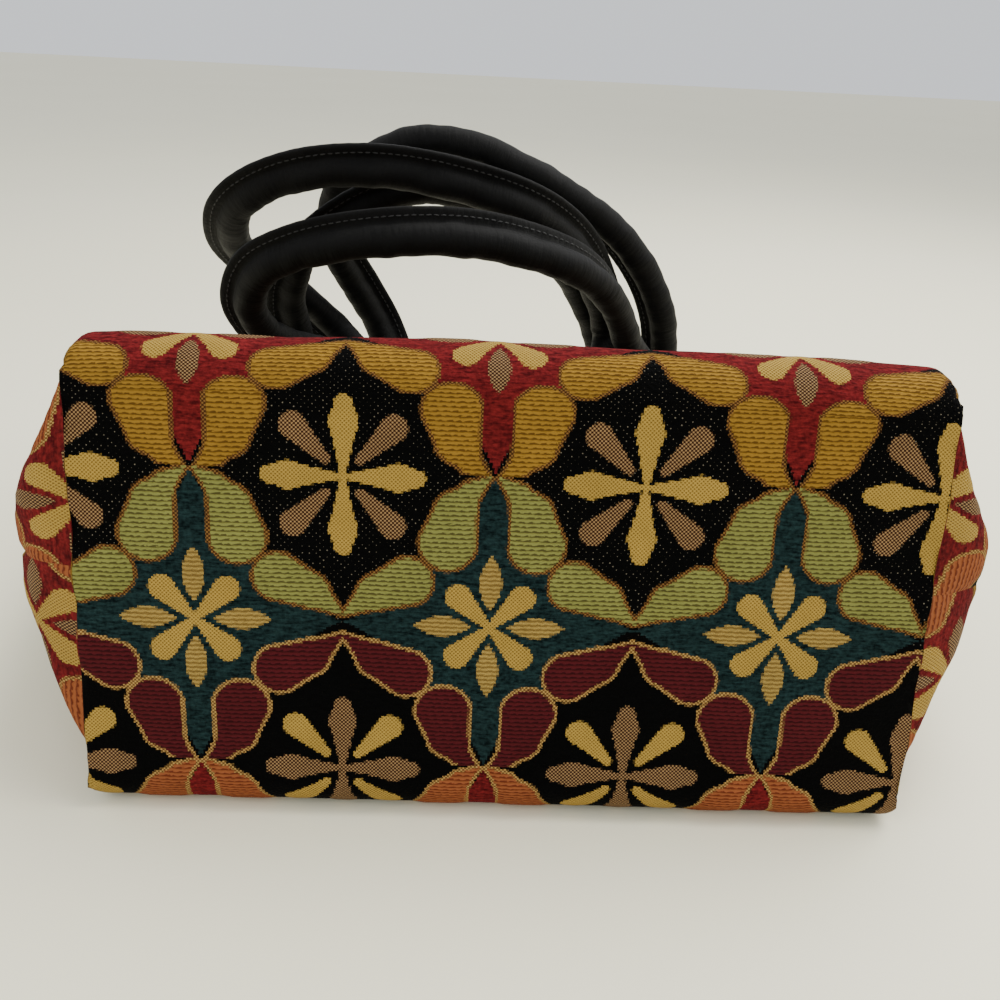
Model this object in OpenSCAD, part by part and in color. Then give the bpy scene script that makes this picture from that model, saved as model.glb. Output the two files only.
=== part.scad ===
// Boxed-bottom tapestry carpet bag with four rolled handle strands, lying on its back panel.
// Millimetres. +Z is up, -Y is the boxed base, +Y is the mouth, and Z = 0 is the table.
// The origin is on the underside of the back panel, below the middle of the body.

/* [Body] */
// Width of the boxed base, side seam to side seam
base_w = 250; // [190:1:320]
// Depth of the boxed base, front fold to back fold
base_d = 143; // [110:1:180]
// Length of the cloth from the base to the mouth edge
body_h = 230; // [185:1:290]
// Radius of the folds along the front and back of the base
fold_r = 12; // [8:0.5:16]
// Radius of the seamed edges at the base's two ends
seam_r = 5; // [4:0.5:8]
// Lean of the base away from upright, which keeps the back panel flat on the table
base_lean = 11.5; // [6:0.5:14]
// Radius of the upright corners where the base meets the side wings
corner_r = 14; // [10:0.5:18]
// Opening between the two mouth edges, at the middle of the mouth
mouth_gap = 56; // [40:1:80]
// Height that the back edge of the mouth has lifted off the table
mouth_lift = 8; // [4:0.5:14]

/* [Cloth] */
// Thickness of the interlined tapestry
tapestry_t = 2; // [1.4:0.1:2.6]
// Thickness of the hem that is turned in at the mouth
hem_t = 1.5; // [1.4:0.1:2]
// Depth of the hem
hem_h = 12; // [8:1:14]
// Thickness of the lining cloth
lining_t = 0.7; // [0.4:0.1:1]
// Thickness of the facing band inside the mouth
facing_t = 0.9; // [0.6:0.1:1.2]
// Depth of the facing band below the mouth edge
facing_h = 46; // [40:1:60]
// Clearance between one layer and the next
layer_gap = 0.3; // [0.2:0.05:0.4]

/* [Base board] */
// Thickness of the board that stiffens the base
board_t = 2; // [1.5:0.1:3]
// Clearance of the board inside the folds of the base
board_clear = 1; // [0.5:0.1:2]

/* [Pocket] */
// Width of the patch pocket on the lining
pocket_w = 130; // [90:1:150]
// Depth of the patch pocket
pocket_h = 80; // [60:1:90]
// Distance of the pocket's mouth below the facing band
pocket_drop = 14; // [6:1:20]
// Thickness of the pocket cloth
pocket_t = 0.7; // [0.4:0.1:1]

/* [Handles] */
// Radius of a rolled strand
strand_r = 7.2; // [6:0.1:8]
// Thickness of the strand's cloth sleeve
sleeve_t = 1.2; // [0.8:0.1:1.6]
// Width of the stitched seam that stands out of a strand
seam_w = 6; // [4:0.5:7]
// Thickness of that seam
seam_t = 2.6; // [2:0.1:3]
// Clearance of the filler cord inside its sleeve
cord_clear = 0.7; // [0.6:0.05:1]
// Distance of a handle's near feet from the middle of the mouth
foot_near = 50; // [40:1:58]
// Distance of a handle's far feet from the middle of the mouth
foot_far = 76; // [72:1:90]
// Length over which a strand's end is flattened
foot_l = 24; // [18:1:30]
// Width of a flattened strand end
foot_w = 19; // [16:1:21]
// Length of filler cord left out at each end of a sleeve
cord_short = 36; // [32:1:44]

/* [Magnetic snap] */
// Diameter of each snap half
snap_d = 18; // [14:0.5:20]
// Thickness of the stud half's plate
stud_plate_t = 2.4; // [2:0.1:3]
// Diameter of the stud that centres the two halves
stud_d = 6; // [4:0.5:8]
// Height of the stud
stud_h = 2.6; // [2:0.1:3]
// Thickness of the socket half, with its magnet
socket_t = 4; // [3.5:0.1:5]
// Clearance of the stud in its socket
stud_clear = 0.25; // [0.15:0.05:0.4]
// Distance of the snap below the mouth edge
snap_drop = 25; // [23:0.5:30]
// Thickness of the washer behind the facing
washer_t = 0.5; // [0.4:0.1:0.6]
// Diameter of the washer
washer_d = 16; // [14:0.5:20]
// Width of a snap's prongs
prong_w = 3; // [2:0.5:4]
// Thickness of a prong
prong_t = 0.5; // [0.4:0.1:0.6]
// Distance of each prong from the snap's axis
prong_at = 4; // [3:0.5:5]

/* [Hidden] */

// Points round a section of the body, and stations along it
RING_N = 80;
FOLD_STEPS = 4;
// Points round a strand, and rings along it
STRAND_N = 12;
CORD_N = 6;
STRAND_RINGS = 34;
// Rounding of turned edges and small discs
ROUND_N = 48;

// Depths of the layers, counted inwards from the outside of the bag
tape_in = tapestry_t;
hem_in = tapestry_t + hem_t;
lining_out = hem_in + layer_gap;
lining_in = lining_out + lining_t;
facing_in = lining_out + facing_t;
board_y = tapestry_t + layer_gap;
lining_base_y = (board_y + board_t + layer_gap) / cos(base_lean);

// Shares of the cloth length at which the layers start and stop
hem_s = 1 - hem_h / body_h;
facing_s = 1 - facing_h / body_h;
facing_top_s = 1 - layer_gap / body_h;
lining_top_s = facing_s - layer_gap / body_h;
snap_s = 1 - snap_drop / body_h;
// Every layer bends at the same stations, so that none cuts its neighbour
SHARES = concat(
    [0.04, 0.09, 0.16, 0.25, 0.36, 0.47, 0.58, 0.69],
    [facing_s, (facing_s + snap_s) / 2, snap_s, hem_s]
);

// The section keeps the length round it that the base gives it
ring_length = 2 * (base_w + base_d) - (8 - 2 * PI) * corner_r;
// Share of the length that stays flat on the table
flat_share = 0.7;
// Share of the length over which the square base rounds off
square_share = 0.13;
mid_y = body_h / 2;
pocket_top_y = mid_y - facing_h - pocket_drop;
pocket_s = 1 - (facing_h + pocket_drop) / body_h;

// Seat of a snap half above the facing's outer face, and its washer's distance behind it
snap_seat = 0.5;
washer_gap = 0.4;
snap_base = facing_t + snap_seat;

// Strands: middle of the mouth's layers, slit of a flattened end, straight lead out of the mouth,
// and the body length and opening that the arcs below were laid out for
wall_mid = facing_in / 2;
slit_t = 0.6;
lead_l = 10;
arc_body_h = 230;
arc_gap = 56;

// Profile of the body along its length: s is 0 at the base fold and 1 at the mouth
function ease(t) = let (c = max(0, min(1, t))) c * c * (3 - 2 * c);
function depth_at(s) = mouth_gap + (base_d - mouth_gap) * pow(1 - s, 1.5);
function lift_at(s) = mouth_lift * pow(max(0, s - flat_share) / (1 - flat_share), 2);
function corner_at(s) = corner_r + (depth_at(s) / 2 - corner_r) * sin(90 * min(1, s / square_share));
function half_w_at(s) = ring_length / 4 - depth_at(s) / 2 + (2 - PI / 2) * corner_at(s);
function pinch_at(s) = 0.3 * ease((s - 0.5) / 0.5);
function lean_at(s) = base_lean * (1 - s);
function y_at(s, rise) = fold_r + s * (body_h - fold_r) + rise * sin(lean_at(s)) - mid_y;

// Height of the back panel at a distance x from its middle and a depth d into the bag
function floor_at(s, x, d) =
    let (half_d = depth_at(s) / 2)
    lift_at(s) + (half_d - (half_d - d) * (1 - pinch_at(s) * pow(x / half_w_at(s), 2))) * cos(lean_at(s));

// Point at length t along a quarter of a rounded rectangle, from the middle of its side
function quarter(t, a, b, r) =
    t < b - r ? [a, t] :
    t < b - r + PI * r / 2 ? let (w = (t - b + r) / r * 180 / PI) [a - r + r * cos(w), b - r + r * sin(w)] :
    [a + b - 2 * r + PI * r / 2 - t, b];

// Section i of n points at depth d inside the outer face, from the left side seam over the top
function section_point(i, n, a, b, r) =
    let (
        m = n / 4,
        part = floor(i / m),
        k = i - part * m,
        whole = a + b - 2 * r + PI * r / 2,
        t = (part % 2 == 0 ? k : m - k) / m * whole,
        p = quarter(t, a, b, r)
    )
    part == 0 ? [-p[0], p[1]] : part == 1 ? p : part == 2 ? [p[0], -p[1]] : -p;

// Ring at station s, d inside the outer face of the panels and side_d inside that of the ends
function body_ring(s, d, side_d = undef, y_shift = undef) =
    let (
        half_d = depth_at(s) / 2,
        half_w = half_w_at(s),
        a = half_w - (is_undef(side_d) ? d : side_d),
        b = half_d - d,
        r = max(corner_at(s) - d, 0.6),
        pinch = pinch_at(s),
        y_start = is_undef(y_shift) ? 0 : y_shift - fold_r
    )
    [for (i = [0 : RING_N - 1])
        let (
            p = section_point(i, RING_N, a, b, r),
            rise = half_d + p[1] * (1 - pinch * pow(p[0] / half_w, 2))
        )
        [p[0], y_at(s, rise) + y_start, lift_at(s) + rise * cos(lean_at(s))]];

// Rings of a closed-ended skin: its base, the folds round it, then the stations up to the top
function skin_rings(d, base_y, top_s) = concat(
    [for (k = [0 : FOLD_STEPS])
        let (w = 90 * k / FOLD_STEPS)
        body_ring(0, fold_r - (fold_r - d) * sin(w), seam_r - (seam_r - d) * sin(w),
            fold_r - (fold_r - base_y) * cos(w))],
    [for (s = SHARES) if (s < top_s - 0.002) body_ring(s, d)],
    [body_ring(top_s, d)]
);

// Triangles between rings a and b of a point list whose rings have n points each
function wall(a, b, n) = [for (i = [0 : n - 1]) let (j = (i + 1) % n)
    each [[a * n + i, b * n + i, a * n + j], [a * n + j, b * n + i, b * n + j]]];
// Triangles that close ring a round the point numbered hub
function cap(a, n, hub, turn) = [for (i = [0 : n - 1]) let (j = (i + 1) % n)
    turn ? [hub, a * n + j, a * n + i] : [hub, a * n + i, a * n + j]];
function middle(ring) = [for (k = [0 : 2]) let (v = [for (p = ring) p[k]]) (max(v) + min(v)) / 2];

// Solid through the given rings, closed at both ends
module rod(rings) {
    n = len(rings[0]);
    last = len(rings) - 1;
    hub = n * (last + 1);
    polyhedron(
        points = concat([for (r = rings) each r], [middle(rings[0]), middle(rings[last])]),
        faces = concat(
            cap(0, n, hub, false),
            [for (k = [0 : last - 1]) each wall(k, k + 1, n)],
            cap(last, n, hub + 1, true)
        )
    );
}

// Cup of cloth between outer rings and inner rings, which start at its closed end
module cup(outer, inner) rod(concat(outer, [for (i = [len(inner) - 1 : -1 : 0]) inner[i]]));

// Open band or tube between outer rings and inner rings
module band(outer, inner) {
    n = len(outer[0]);
    rings = concat(outer, [for (i = [len(inner) - 1 : -1 : 0]) inner[i]]);
    last = len(rings) - 1;
    polyhedron(
        points = [for (r = rings) each r],
        faces = [for (k = [0 : last]) each wall(k, (k + 1) % (last + 1), n)]
    );
}

module tapestry_shell() color("darkred")
    cup(
        skin_rings(0, 0, 1),
        concat(
            skin_rings(tape_in, tapestry_t, hem_s),
            [body_ring(hem_s, hem_in), body_ring(1, hem_in)]
        )
    );

module lining() color("black")
    cup(
        skin_rings(lining_out, lining_base_y, lining_top_s),
        skin_rings(lining_in, lining_base_y + lining_t, lining_top_s)
    );

// Slots through which a snap's prongs pass the facing and its washer
module prong_slots(clear) {
    for (side = [-1, 1])
        translate([side * prong_at, 0, 0])
            cube([prong_t + 2 * clear, prong_w + 2 * clear, 8 * facing_t], center = true);
}

module mouth_facing() color("black")
    difference() {
        band(
            [for (s = facing_stations()) body_ring(s, lining_out)],
            [for (s = facing_stations()) body_ring(s, facing_in)]
        );
        at_snap(true) translate([0, 0, facing_t / 2]) prong_slots(layer_gap / 2);
        at_snap(false) translate([0, 0, facing_t / 2]) prong_slots(layer_gap / 2);
    }
function facing_stations() = concat([for (s = SHARES) if (s >= facing_s) s], [facing_top_s]);

module base_board() color("dimgray")
    translate([0, -mid_y, 0])
        rotate([-90 - base_lean, 0, 0])
            translate([0, -base_d / 2, board_y])
                linear_extrude(height = board_t)
                    rounded_sheet(base_w - 2 * (seam_r + board_clear),
                        base_d - 2 * (fold_r + board_clear), 6);

module rounded_sheet(w, h, r)
    hull()
        for (x = [-1, 1], y = [-1, 1])
            translate([x * (w / 2 - r), y * (h / 2 - r)]) circle(r = r, $fn = 32);

// Patch pocket, flat against the lining of the back panel
module lining_pocket() color("black")
    translate([0, pocket_top_y - pocket_h / 2, floor_at(pocket_s, pocket_w / 2, lining_in) + layer_gap])
        linear_extrude(height = pocket_t) rounded_sheet(pocket_w, pocket_h, 8);

// A snap half sits on the facing at the middle of an edge, with local +Z into the bag
function edge_z(s, front) = lift_at(s) + (front ? depth_at(s) * cos(lean_at(s)) : 0);
function edge_y(s, front) = y_at(s, front ? depth_at(s) : 0);
function edge_slope(front) =
    atan2(edge_z(snap_s + 0.02, front) - edge_z(snap_s - 0.02, front),
        edge_y(snap_s + 0.02, front) - edge_y(snap_s - 0.02, front));

// Places children on the facing's outer face, below the mouth edge
module at_snap(front) {
    translate([0, edge_y(snap_s, front), edge_z(snap_s, front)])
        rotate([edge_slope(front) + (front ? 180 : 0), 0, 0])
            translate([0, 0, lining_out]) children();
}

// Two prongs that pass the facing and fold outwards over the washer
module prongs() {
    reach = facing_t + washer_gap + washer_t + snap_seat;
    for (side = [-1, 1]) {
        translate([side * prong_at, 0, snap_base - reach / 2 + 0.1])
            cube([prong_t, prong_w, reach + 0.2], center = true);
        translate([side * (prong_at + prong_w / 2 - prong_t / 2), 0, snap_base - reach - prong_t / 2])
            cube([prong_w, prong_w, prong_t], center = true);
    }
}

module snap_stud() color("goldenrod")
    at_snap(true) {
        translate([0, 0, snap_base]) cylinder(h = stud_plate_t, d = snap_d, $fn = ROUND_N);
        translate([0, 0, snap_base + stud_plate_t - 0.1])
            cylinder(h = stud_h + 0.1, d = stud_d, $fn = ROUND_N);
        prongs();
    }

module snap_socket() color("goldenrod")
    at_snap(false) {
        difference() {
            translate([0, 0, snap_base]) cylinder(h = socket_t, d = snap_d, $fn = ROUND_N);
            translate([0, 0, snap_base + socket_t - stud_h - stud_clear])
                cylinder(h = stud_h + 1, d = stud_d + 2 * stud_clear, $fn = ROUND_N);
        }
        prongs();
    }

module washer() {
    translate([0, 0, -washer_gap - washer_t])
        difference() {
            cylinder(h = washer_t, d = washer_d, $fn = ROUND_N);
            prong_slots(layer_gap / 2);
        }
}
module stud_washer() color("goldenrod") at_snap(true) washer();
module socket_washer() color("goldenrod") at_snap(false) washer();

// Rolled strands ------------------------------------------------------------------------------

// Middle of a strand's end, on the mouth edge at x
function foot_at(x, front) =
    let (
        half_d = mouth_gap / 2,
        swell = half_d - (half_d - wall_mid) * (1 - pinch_at(1) * pow(x / half_w_at(1), 2))
    )
    [x, body_h - mid_y + layer_gap, mouth_lift + (front ? mouth_gap - swell : swell)];

// Free arc of each strand as it lies, from its left foot over the top to its right foot
FRONT_LOW = [
    [-79, 138, 63], [-85, 140, 64], [-92, 136, 67], [-98, 128, 71], [-105, 117, 77],
    [-111, 104, 86], [-114, 91, 102], [-106, 81, 119], [-88, 75, 129], [-66, 71, 135],
    [-40, 71, 138], [-15, 76, 137], [8, 83, 132], [27, 91, 125], [41, 101, 116], [51, 111, 105],
    [58, 121, 93], [63, 129, 81], [69, 136, 72], [75, 137, 64]
];
FRONT_HIGH = [
    [-52, 139, 59], [-62, 151, 57], [-75, 163, 59], [-88, 174, 68], [-101, 169, 82],
    [-113, 160, 96], [-123, 145, 108], [-127, 125, 123], [-121, 106, 140], [-108, 98, 151],
    [-90, 95, 158], [-68, 95, 161], [-45, 97, 160], [-20, 101, 155], [4, 108, 147],
    [22, 119, 136], [36, 131, 121], [46, 143, 103], [53, 153, 87], [56, 156, 73], [53, 147, 62]
];
BACK_LOW = [
    [-80, 147, 18], [-92, 154, 34], [-100, 155, 53], [-104, 152, 70], [-105, 140, 88],
    [-101, 127, 105], [-92, 119, 122], [-78, 118, 135], [-60, 121, 145], [-38, 125, 150],
    [-13, 131, 146], [9, 140, 134], [25, 151, 117], [38, 163, 99], [48, 173, 81], [55, 179, 63],
    [58, 179, 45], [56, 168, 27], [51, 149, 15]
];
BACK_HIGH = [
    [-51, 147, 15], [-54, 166, 24], [-58, 181, 42], [-66, 187, 64], [-77, 181, 87], [-86, 170, 108],
    [-86, 158, 131], [-78, 148, 150], [-60, 141, 162], [-40, 139, 169], [-16, 139, 167],
    [10, 141, 157], [36, 145, 143], [58, 150, 127], [75, 157, 106], [85, 163, 86], [90, 169, 65],
    [89, 169, 44], [83, 160, 26], [78, 147, 15]
];

// The arcs follow the mouth edge when the body's length or the opening changes
function arc_points(route, front) =
    [for (p = route) p + [0, (body_h - arc_body_h) / 2, front ? mouth_gap - arc_gap : 0]];

function strand_points(route, left, right, front) =
    let (a = foot_at(-left, front), b = foot_at(right, front), lead = [0, lead_l, 0])
    concat([a, a + lead], arc_points(route, front), [b + lead, b]);

// Smooth curve through points, at a share u of their number
function curve_at(p, u) =
    let (
        last = len(p) - 1,
        x = min(u * last, last - 1e-6),
        i = floor(x),
        t = x - i,
        p1 = p[i],
        p2 = p[i + 1],
        p0 = i > 0 ? p[i - 1] : 2 * p1 - p2,
        p3 = i + 2 <= last ? p[i + 2] : 2 * p2 - p1
    )
    (2 * p1 + (p2 - p0) * t + (2 * p0 - 5 * p1 + 4 * p2 - p3) * t * t
        + (3 * p1 - p0 - 3 * p2 + p3) * t * t * t) / 2;

function unit(v) = v / norm(v);
function running_length(p) =
    [for (i = 0, l = 0; i < len(p); i = i + 1, l = l + (i < len(p) ? norm(p[i] - p[i - 1]) : 0)) l];

// Points at even steps along a curve from length a to length b
function even_points(fine, lengths, a, b, n) =
    [for (k = [0 : n - 1])
        let (
            want = a + (b - a) * k / (n - 1),
            i = min(max([for (j = [0 : len(lengths) - 1]) if (lengths[j] <= want + 1e-9) j]), len(fine) - 2),
            t = (want - lengths[i]) / (lengths[i + 1] - lengths[i])
        )
        fine[i] + t * (fine[i + 1] - fine[i])];

// Side vectors carried along the curve without twist, then turned evenly so that both ends lie
// along the mouth edge
function tangents(p) = [for (i = [0 : len(p) - 1])
    i == 0 || i == len(p) - 1 ? [0, i == 0 ? 1 : -1, 0] : unit(p[i + 1] - p[i - 1])];
function carried(t) =
    [for (i = 0, e = [-1, 0, 0]; i < len(t); i = i + 1, e = i < len(t) ? unit(e - (e * t[i]) * t[i]) : e) e];
function side_vectors(t) =
    let (
        e = carried(t),
        last = len(t) - 1,
        off = atan2(cross(e[last], [1, 0, 0]) * t[last], e[last] * [1, 0, 0])
    )
    [for (i = [0 : last])
        let (w = off * i / last) e[i] * cos(w) + cross(t[i], e[i]) * sin(w)];

// Outline of a sleeve: a round tube with a flat seam standing out of it on one side
function sleeve_outline(turn) =
    let (root = asin(seam_t / 2 / strand_r), n = STRAND_N - 2)
    concat(
        [for (side = [1, -1]) turned([strand_r + seam_w, side * seam_t / 2], turn)],
        [for (k = [0 : n - 1])
            let (w = -root - (360 - 2 * root) * k / (n - 1))
            turned(strand_r * [cos(w), sin(w)], turn)]
    );
function bore_outline(turn) =
    let (r = strand_r - sleeve_t, root = 12, n = STRAND_N - 2)
    concat(
        [for (side = [1, -1]) turned(r * [cos(root / 3), side * sin(root / 3)], turn)],
        [for (k = [0 : n - 1])
            let (w = -root - (360 - 2 * root) * k / (n - 1))
            turned(r * [cos(w), sin(w)], turn)]
    );
function turned(p, w) = [p[0] * cos(w) - p[1] * sin(w), p[0] * sin(w) + p[1] * cos(w)];
// The same outline pressed flat, for a strand's end
function flat_outline(outline, w, t) =
    [for (p = outline) let (a = atan2(p[1], p[0])) [w / 2 * cos(a), t / 2 * sin(a)]];

function placed(outline, centre, side, tangent) =
    let (other = cross(tangent, side)) [for (p = outline) centre + p[0] * side + p[1] * other];

module sleeve(points, turn) {
    fine = [for (k = [0 : 400]) curve_at(points, k / 400)];
    lengths = running_length(fine);
    whole = lengths[400];
    p = even_points(fine, lengths, 0, whole, STRAND_RINGS);
    t = tangents(p);
    e = side_vectors(t);
    flat_t = 2 * sleeve_t + slit_t;
    function share(i) = let (l = whole * i / (STRAND_RINGS - 1)) ease(min(l, whole - l) / foot_l);
    outer = [for (i = [0 : STRAND_RINGS - 1])
        let (o = sleeve_outline(turn), m = share(i))
        placed(m * o + (1 - m) * flat_outline(o, foot_w, flat_t), p[i], e[i], t[i])];
    inner = [for (i = [0 : STRAND_RINGS - 1])
        let (o = bore_outline(turn), m = share(i))
        placed(m * o + (1 - m) * flat_outline(o, foot_w - 2 * sleeve_t, slit_t), p[i], e[i], t[i])];
    band(outer, inner);
}

module filler(points) {
    fine = [for (k = [0 : 400]) curve_at(points, k / 400)];
    lengths = running_length(fine);
    p = even_points(fine, lengths, cord_short, lengths[400] - cord_short, STRAND_RINGS);
    t = [for (i = [0 : len(p) - 1]) unit(p[min(i + 1, len(p) - 1)] - p[max(i - 1, 0)])];
    e = carried(t);
    // The bore's flat facets lie inside its circle, so the cord clears those
    r = (strand_r - sleeve_t) * cos(17) - cord_clear;
    outline = [for (k = [0 : CORD_N - 1]) r * [cos(360 * k / CORD_N), -sin(360 * k / CORD_N)]];
    rod([for (i = [0 : len(p) - 1]) placed(outline, p[i], e[i], t[i])]);
}

front_low = strand_points(FRONT_LOW, foot_far, foot_far, true);
front_high = strand_points(FRONT_HIGH, foot_near, foot_near, true);
back_low = strand_points(BACK_LOW, foot_far, foot_near, false);
back_high = strand_points(BACK_HIGH, foot_near, foot_far, false);

module front_handle_low() color("dimgray") sleeve(front_low, -55);
module front_handle_high() color("dimgray") sleeve(front_high, -55);
module back_handle_low() color("dimgray") sleeve(back_low, 0);
module back_handle_high() color("dimgray") sleeve(back_high, 180);
module front_cord_low() color("ivory") filler(front_low);
module front_cord_high() color("ivory") filler(front_high);
module back_cord_low() color("ivory") filler(back_low);
module back_cord_high() color("ivory") filler(back_high);

tapestry_shell();
lining();
mouth_facing();
base_board();
lining_pocket();
front_handle_low();
front_handle_high();
back_handle_low();
back_handle_high();
front_cord_low();
front_cord_high();
back_cord_low();
back_cord_high();
snap_stud();
snap_socket();
stud_washer();
socket_washer();
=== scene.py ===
"""Looks of a boxed-bottom tapestry carpet bag that lies on its back panel.

The sizes in the classes are in millimetres, as in the part's own source, and every mesh is made in
metres in the part's frame: +X across the bag, +Y from the boxed base to the mouth and +Z off the
table.
"""
import logging
import math
from dataclasses import dataclass, field
from enum import Enum
from typing import Optional, Sequence, Union

import bpy
import numpy as np
from mathutils import Matrix, Vector


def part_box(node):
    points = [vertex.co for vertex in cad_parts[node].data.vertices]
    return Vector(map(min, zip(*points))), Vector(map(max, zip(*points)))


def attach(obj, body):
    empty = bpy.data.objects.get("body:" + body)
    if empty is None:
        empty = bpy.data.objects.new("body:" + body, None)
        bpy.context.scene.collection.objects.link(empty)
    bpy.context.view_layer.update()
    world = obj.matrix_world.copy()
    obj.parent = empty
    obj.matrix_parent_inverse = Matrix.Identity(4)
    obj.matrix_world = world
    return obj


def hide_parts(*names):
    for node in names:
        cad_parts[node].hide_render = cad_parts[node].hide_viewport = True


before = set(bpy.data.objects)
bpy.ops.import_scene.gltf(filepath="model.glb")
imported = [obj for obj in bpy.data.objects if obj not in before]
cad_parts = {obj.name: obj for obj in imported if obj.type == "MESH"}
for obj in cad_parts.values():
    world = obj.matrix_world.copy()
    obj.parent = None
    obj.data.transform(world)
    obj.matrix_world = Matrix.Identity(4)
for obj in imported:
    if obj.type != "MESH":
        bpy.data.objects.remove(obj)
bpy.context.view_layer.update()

LOG = logging.getLogger("carpet_bag")
MM = 0.001
PER_METRE = 1000.0
NEVER_ZERO = 1e-9
BODY = "root"
Point = tuple[float, float, float]
Colour = tuple[float, float, float]


# Numbers that vary over a surface --------------------------------------------------------------

class Field:
    """A number that varies over a surface, held as a socket of a material's node tree."""

    def __init__(self, tree: bpy.types.NodeTree, socket: bpy.types.NodeSocket) -> None:
        """Keeps the socket and the tree that it belongs to."""
        self.tree = tree
        self.socket = socket

    def math(self, operation: str, *others: "Number") -> "Field":
        """Adds one Math node.

        Args:
            operation: The Math node's operation.
            others: The second and third operands, as fields or plain numbers.

        Returns:
            The node's result.
        """
        node = self.tree.nodes.new("ShaderNodeMath")
        node.operation = operation
        self.tree.links.new(self.socket, node.inputs[0])
        for place, other in enumerate(others, start=1):
            if isinstance(other, Field):
                self.tree.links.new(other.socket, node.inputs[place])
            else:
                node.inputs[place].default_value = float(other)
        return Field(self.tree, node.outputs[0])

    def __add__(self, other: "Number") -> "Field":
        """Sum."""
        return self.math("ADD", other)

    def __sub__(self, other: "Number") -> "Field":
        """Difference."""
        return self.math("SUBTRACT", other)

    def __mul__(self, other: "Number") -> "Field":
        """Product."""
        return self.math("MULTIPLY", other)

    def __truediv__(self, other: "Number") -> "Field":
        """Quotient."""
        return self.math("DIVIDE", other)

    def __neg__(self) -> "Field":
        """Opposite."""
        return self.math("MULTIPLY", -1.0)

    def __rsub__(self, other: float) -> "Field":
        """Difference from a plain number."""
        return (-self).math("ADD", other)

    __radd__ = __add__
    __rmul__ = __mul__


Number = Union[float, np.ndarray, Field]


def size_of(a: Number) -> Number:
    """Absolute value."""
    return a.math("ABSOLUTE") if isinstance(a, Field) else np.abs(a)


def least(a: Number, b: Number) -> Number:
    """Smaller of two numbers."""
    return a.math("MINIMUM", b) if isinstance(a, Field) else np.minimum(a, b)


def blended(a: Number, b: Number, soft: float) -> Number:
    """Smaller of two numbers, with a smooth change from one to the other."""
    if isinstance(a, Field):
        return a.math("SMOOTH_MIN", b, soft)
    share = np.maximum(soft - np.abs(a - b), 0.0) / soft
    return np.minimum(a, b) - share ** 3 * soft / 6


def most(a: Number, b: Number) -> Number:
    """Larger of two numbers."""
    return a.math("MAXIMUM", b) if isinstance(a, Field) else np.maximum(a, b)


def power(a: Number, exponent: float) -> Number:
    """A number raised to a fixed power."""
    return a.math("POWER", exponent) if isinstance(a, Field) else np.power(a, exponent)


def wave(a: Number) -> Number:
    """Cosine of a number of turns, from -1 to 1."""
    turns = a * (2 * math.pi)
    return turns.math("COSINE") if isinstance(a, Field) else np.cos(turns)


def stepped(a: Number, pitch: float) -> Number:
    """Middle of the step of this pitch that a number falls in."""
    count = (a / pitch).math("FLOOR") if isinstance(a, Field) else np.floor(a / pitch)
    return (count + 0.5) * pitch


def wrapped(a: Number, repeat: float) -> Number:
    """Distance from the nearest multiple of a repeat, with its sign."""
    share = a / repeat
    whole = (share + 0.5).math("FLOOR") if isinstance(a, Field) else np.floor(share + 0.5)
    return (share - whole) * repeat


def rise(a: Number, low: float, high: float) -> Number:
    """Even rise from 0 at low to 1 at high, held beyond them."""
    share = (a - low) / (high - low)
    return least(most(share, 0.0), 1.0)


def stroke(x: Number, y: Number, start: Sequence[float], end: Sequence[float]) -> Number:
    """Distance from a stroke whose radius changes evenly along it.

    Args:
        x: Place across.
        y: Place up.
        start: X, y and radius of the stroke's start.
        end: X, y and radius of its end.

    Returns:
        The distance, which is negative inside the stroke.
    """
    dx, dy = end[0] - start[0], end[1] - start[1]
    along = ((x - start[0]) * dx + (y - start[1]) * dy) / (dx * dx + dy * dy)
    along = least(most(along, 0.0), 1.0)
    ex = x - along * dx - start[0]
    ey = y - along * dy - start[1]
    return power(ex * ex + ey * ey, 0.5) - along * (end[2] - start[2]) - start[2]


# Woven pattern ---------------------------------------------------------------------------------

@dataclass(frozen=True)
class Areas:
    """Signed distances and shares that say which yarn shows at a place on the cloth."""

    petals: Number
    cluster: Number
    upper_half: Number
    first_ground: Number
    inner_joined: Number
    inner_loose: Number
    outer_joined: Number
    outer_loose: Number
    outer_first: Number


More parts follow.
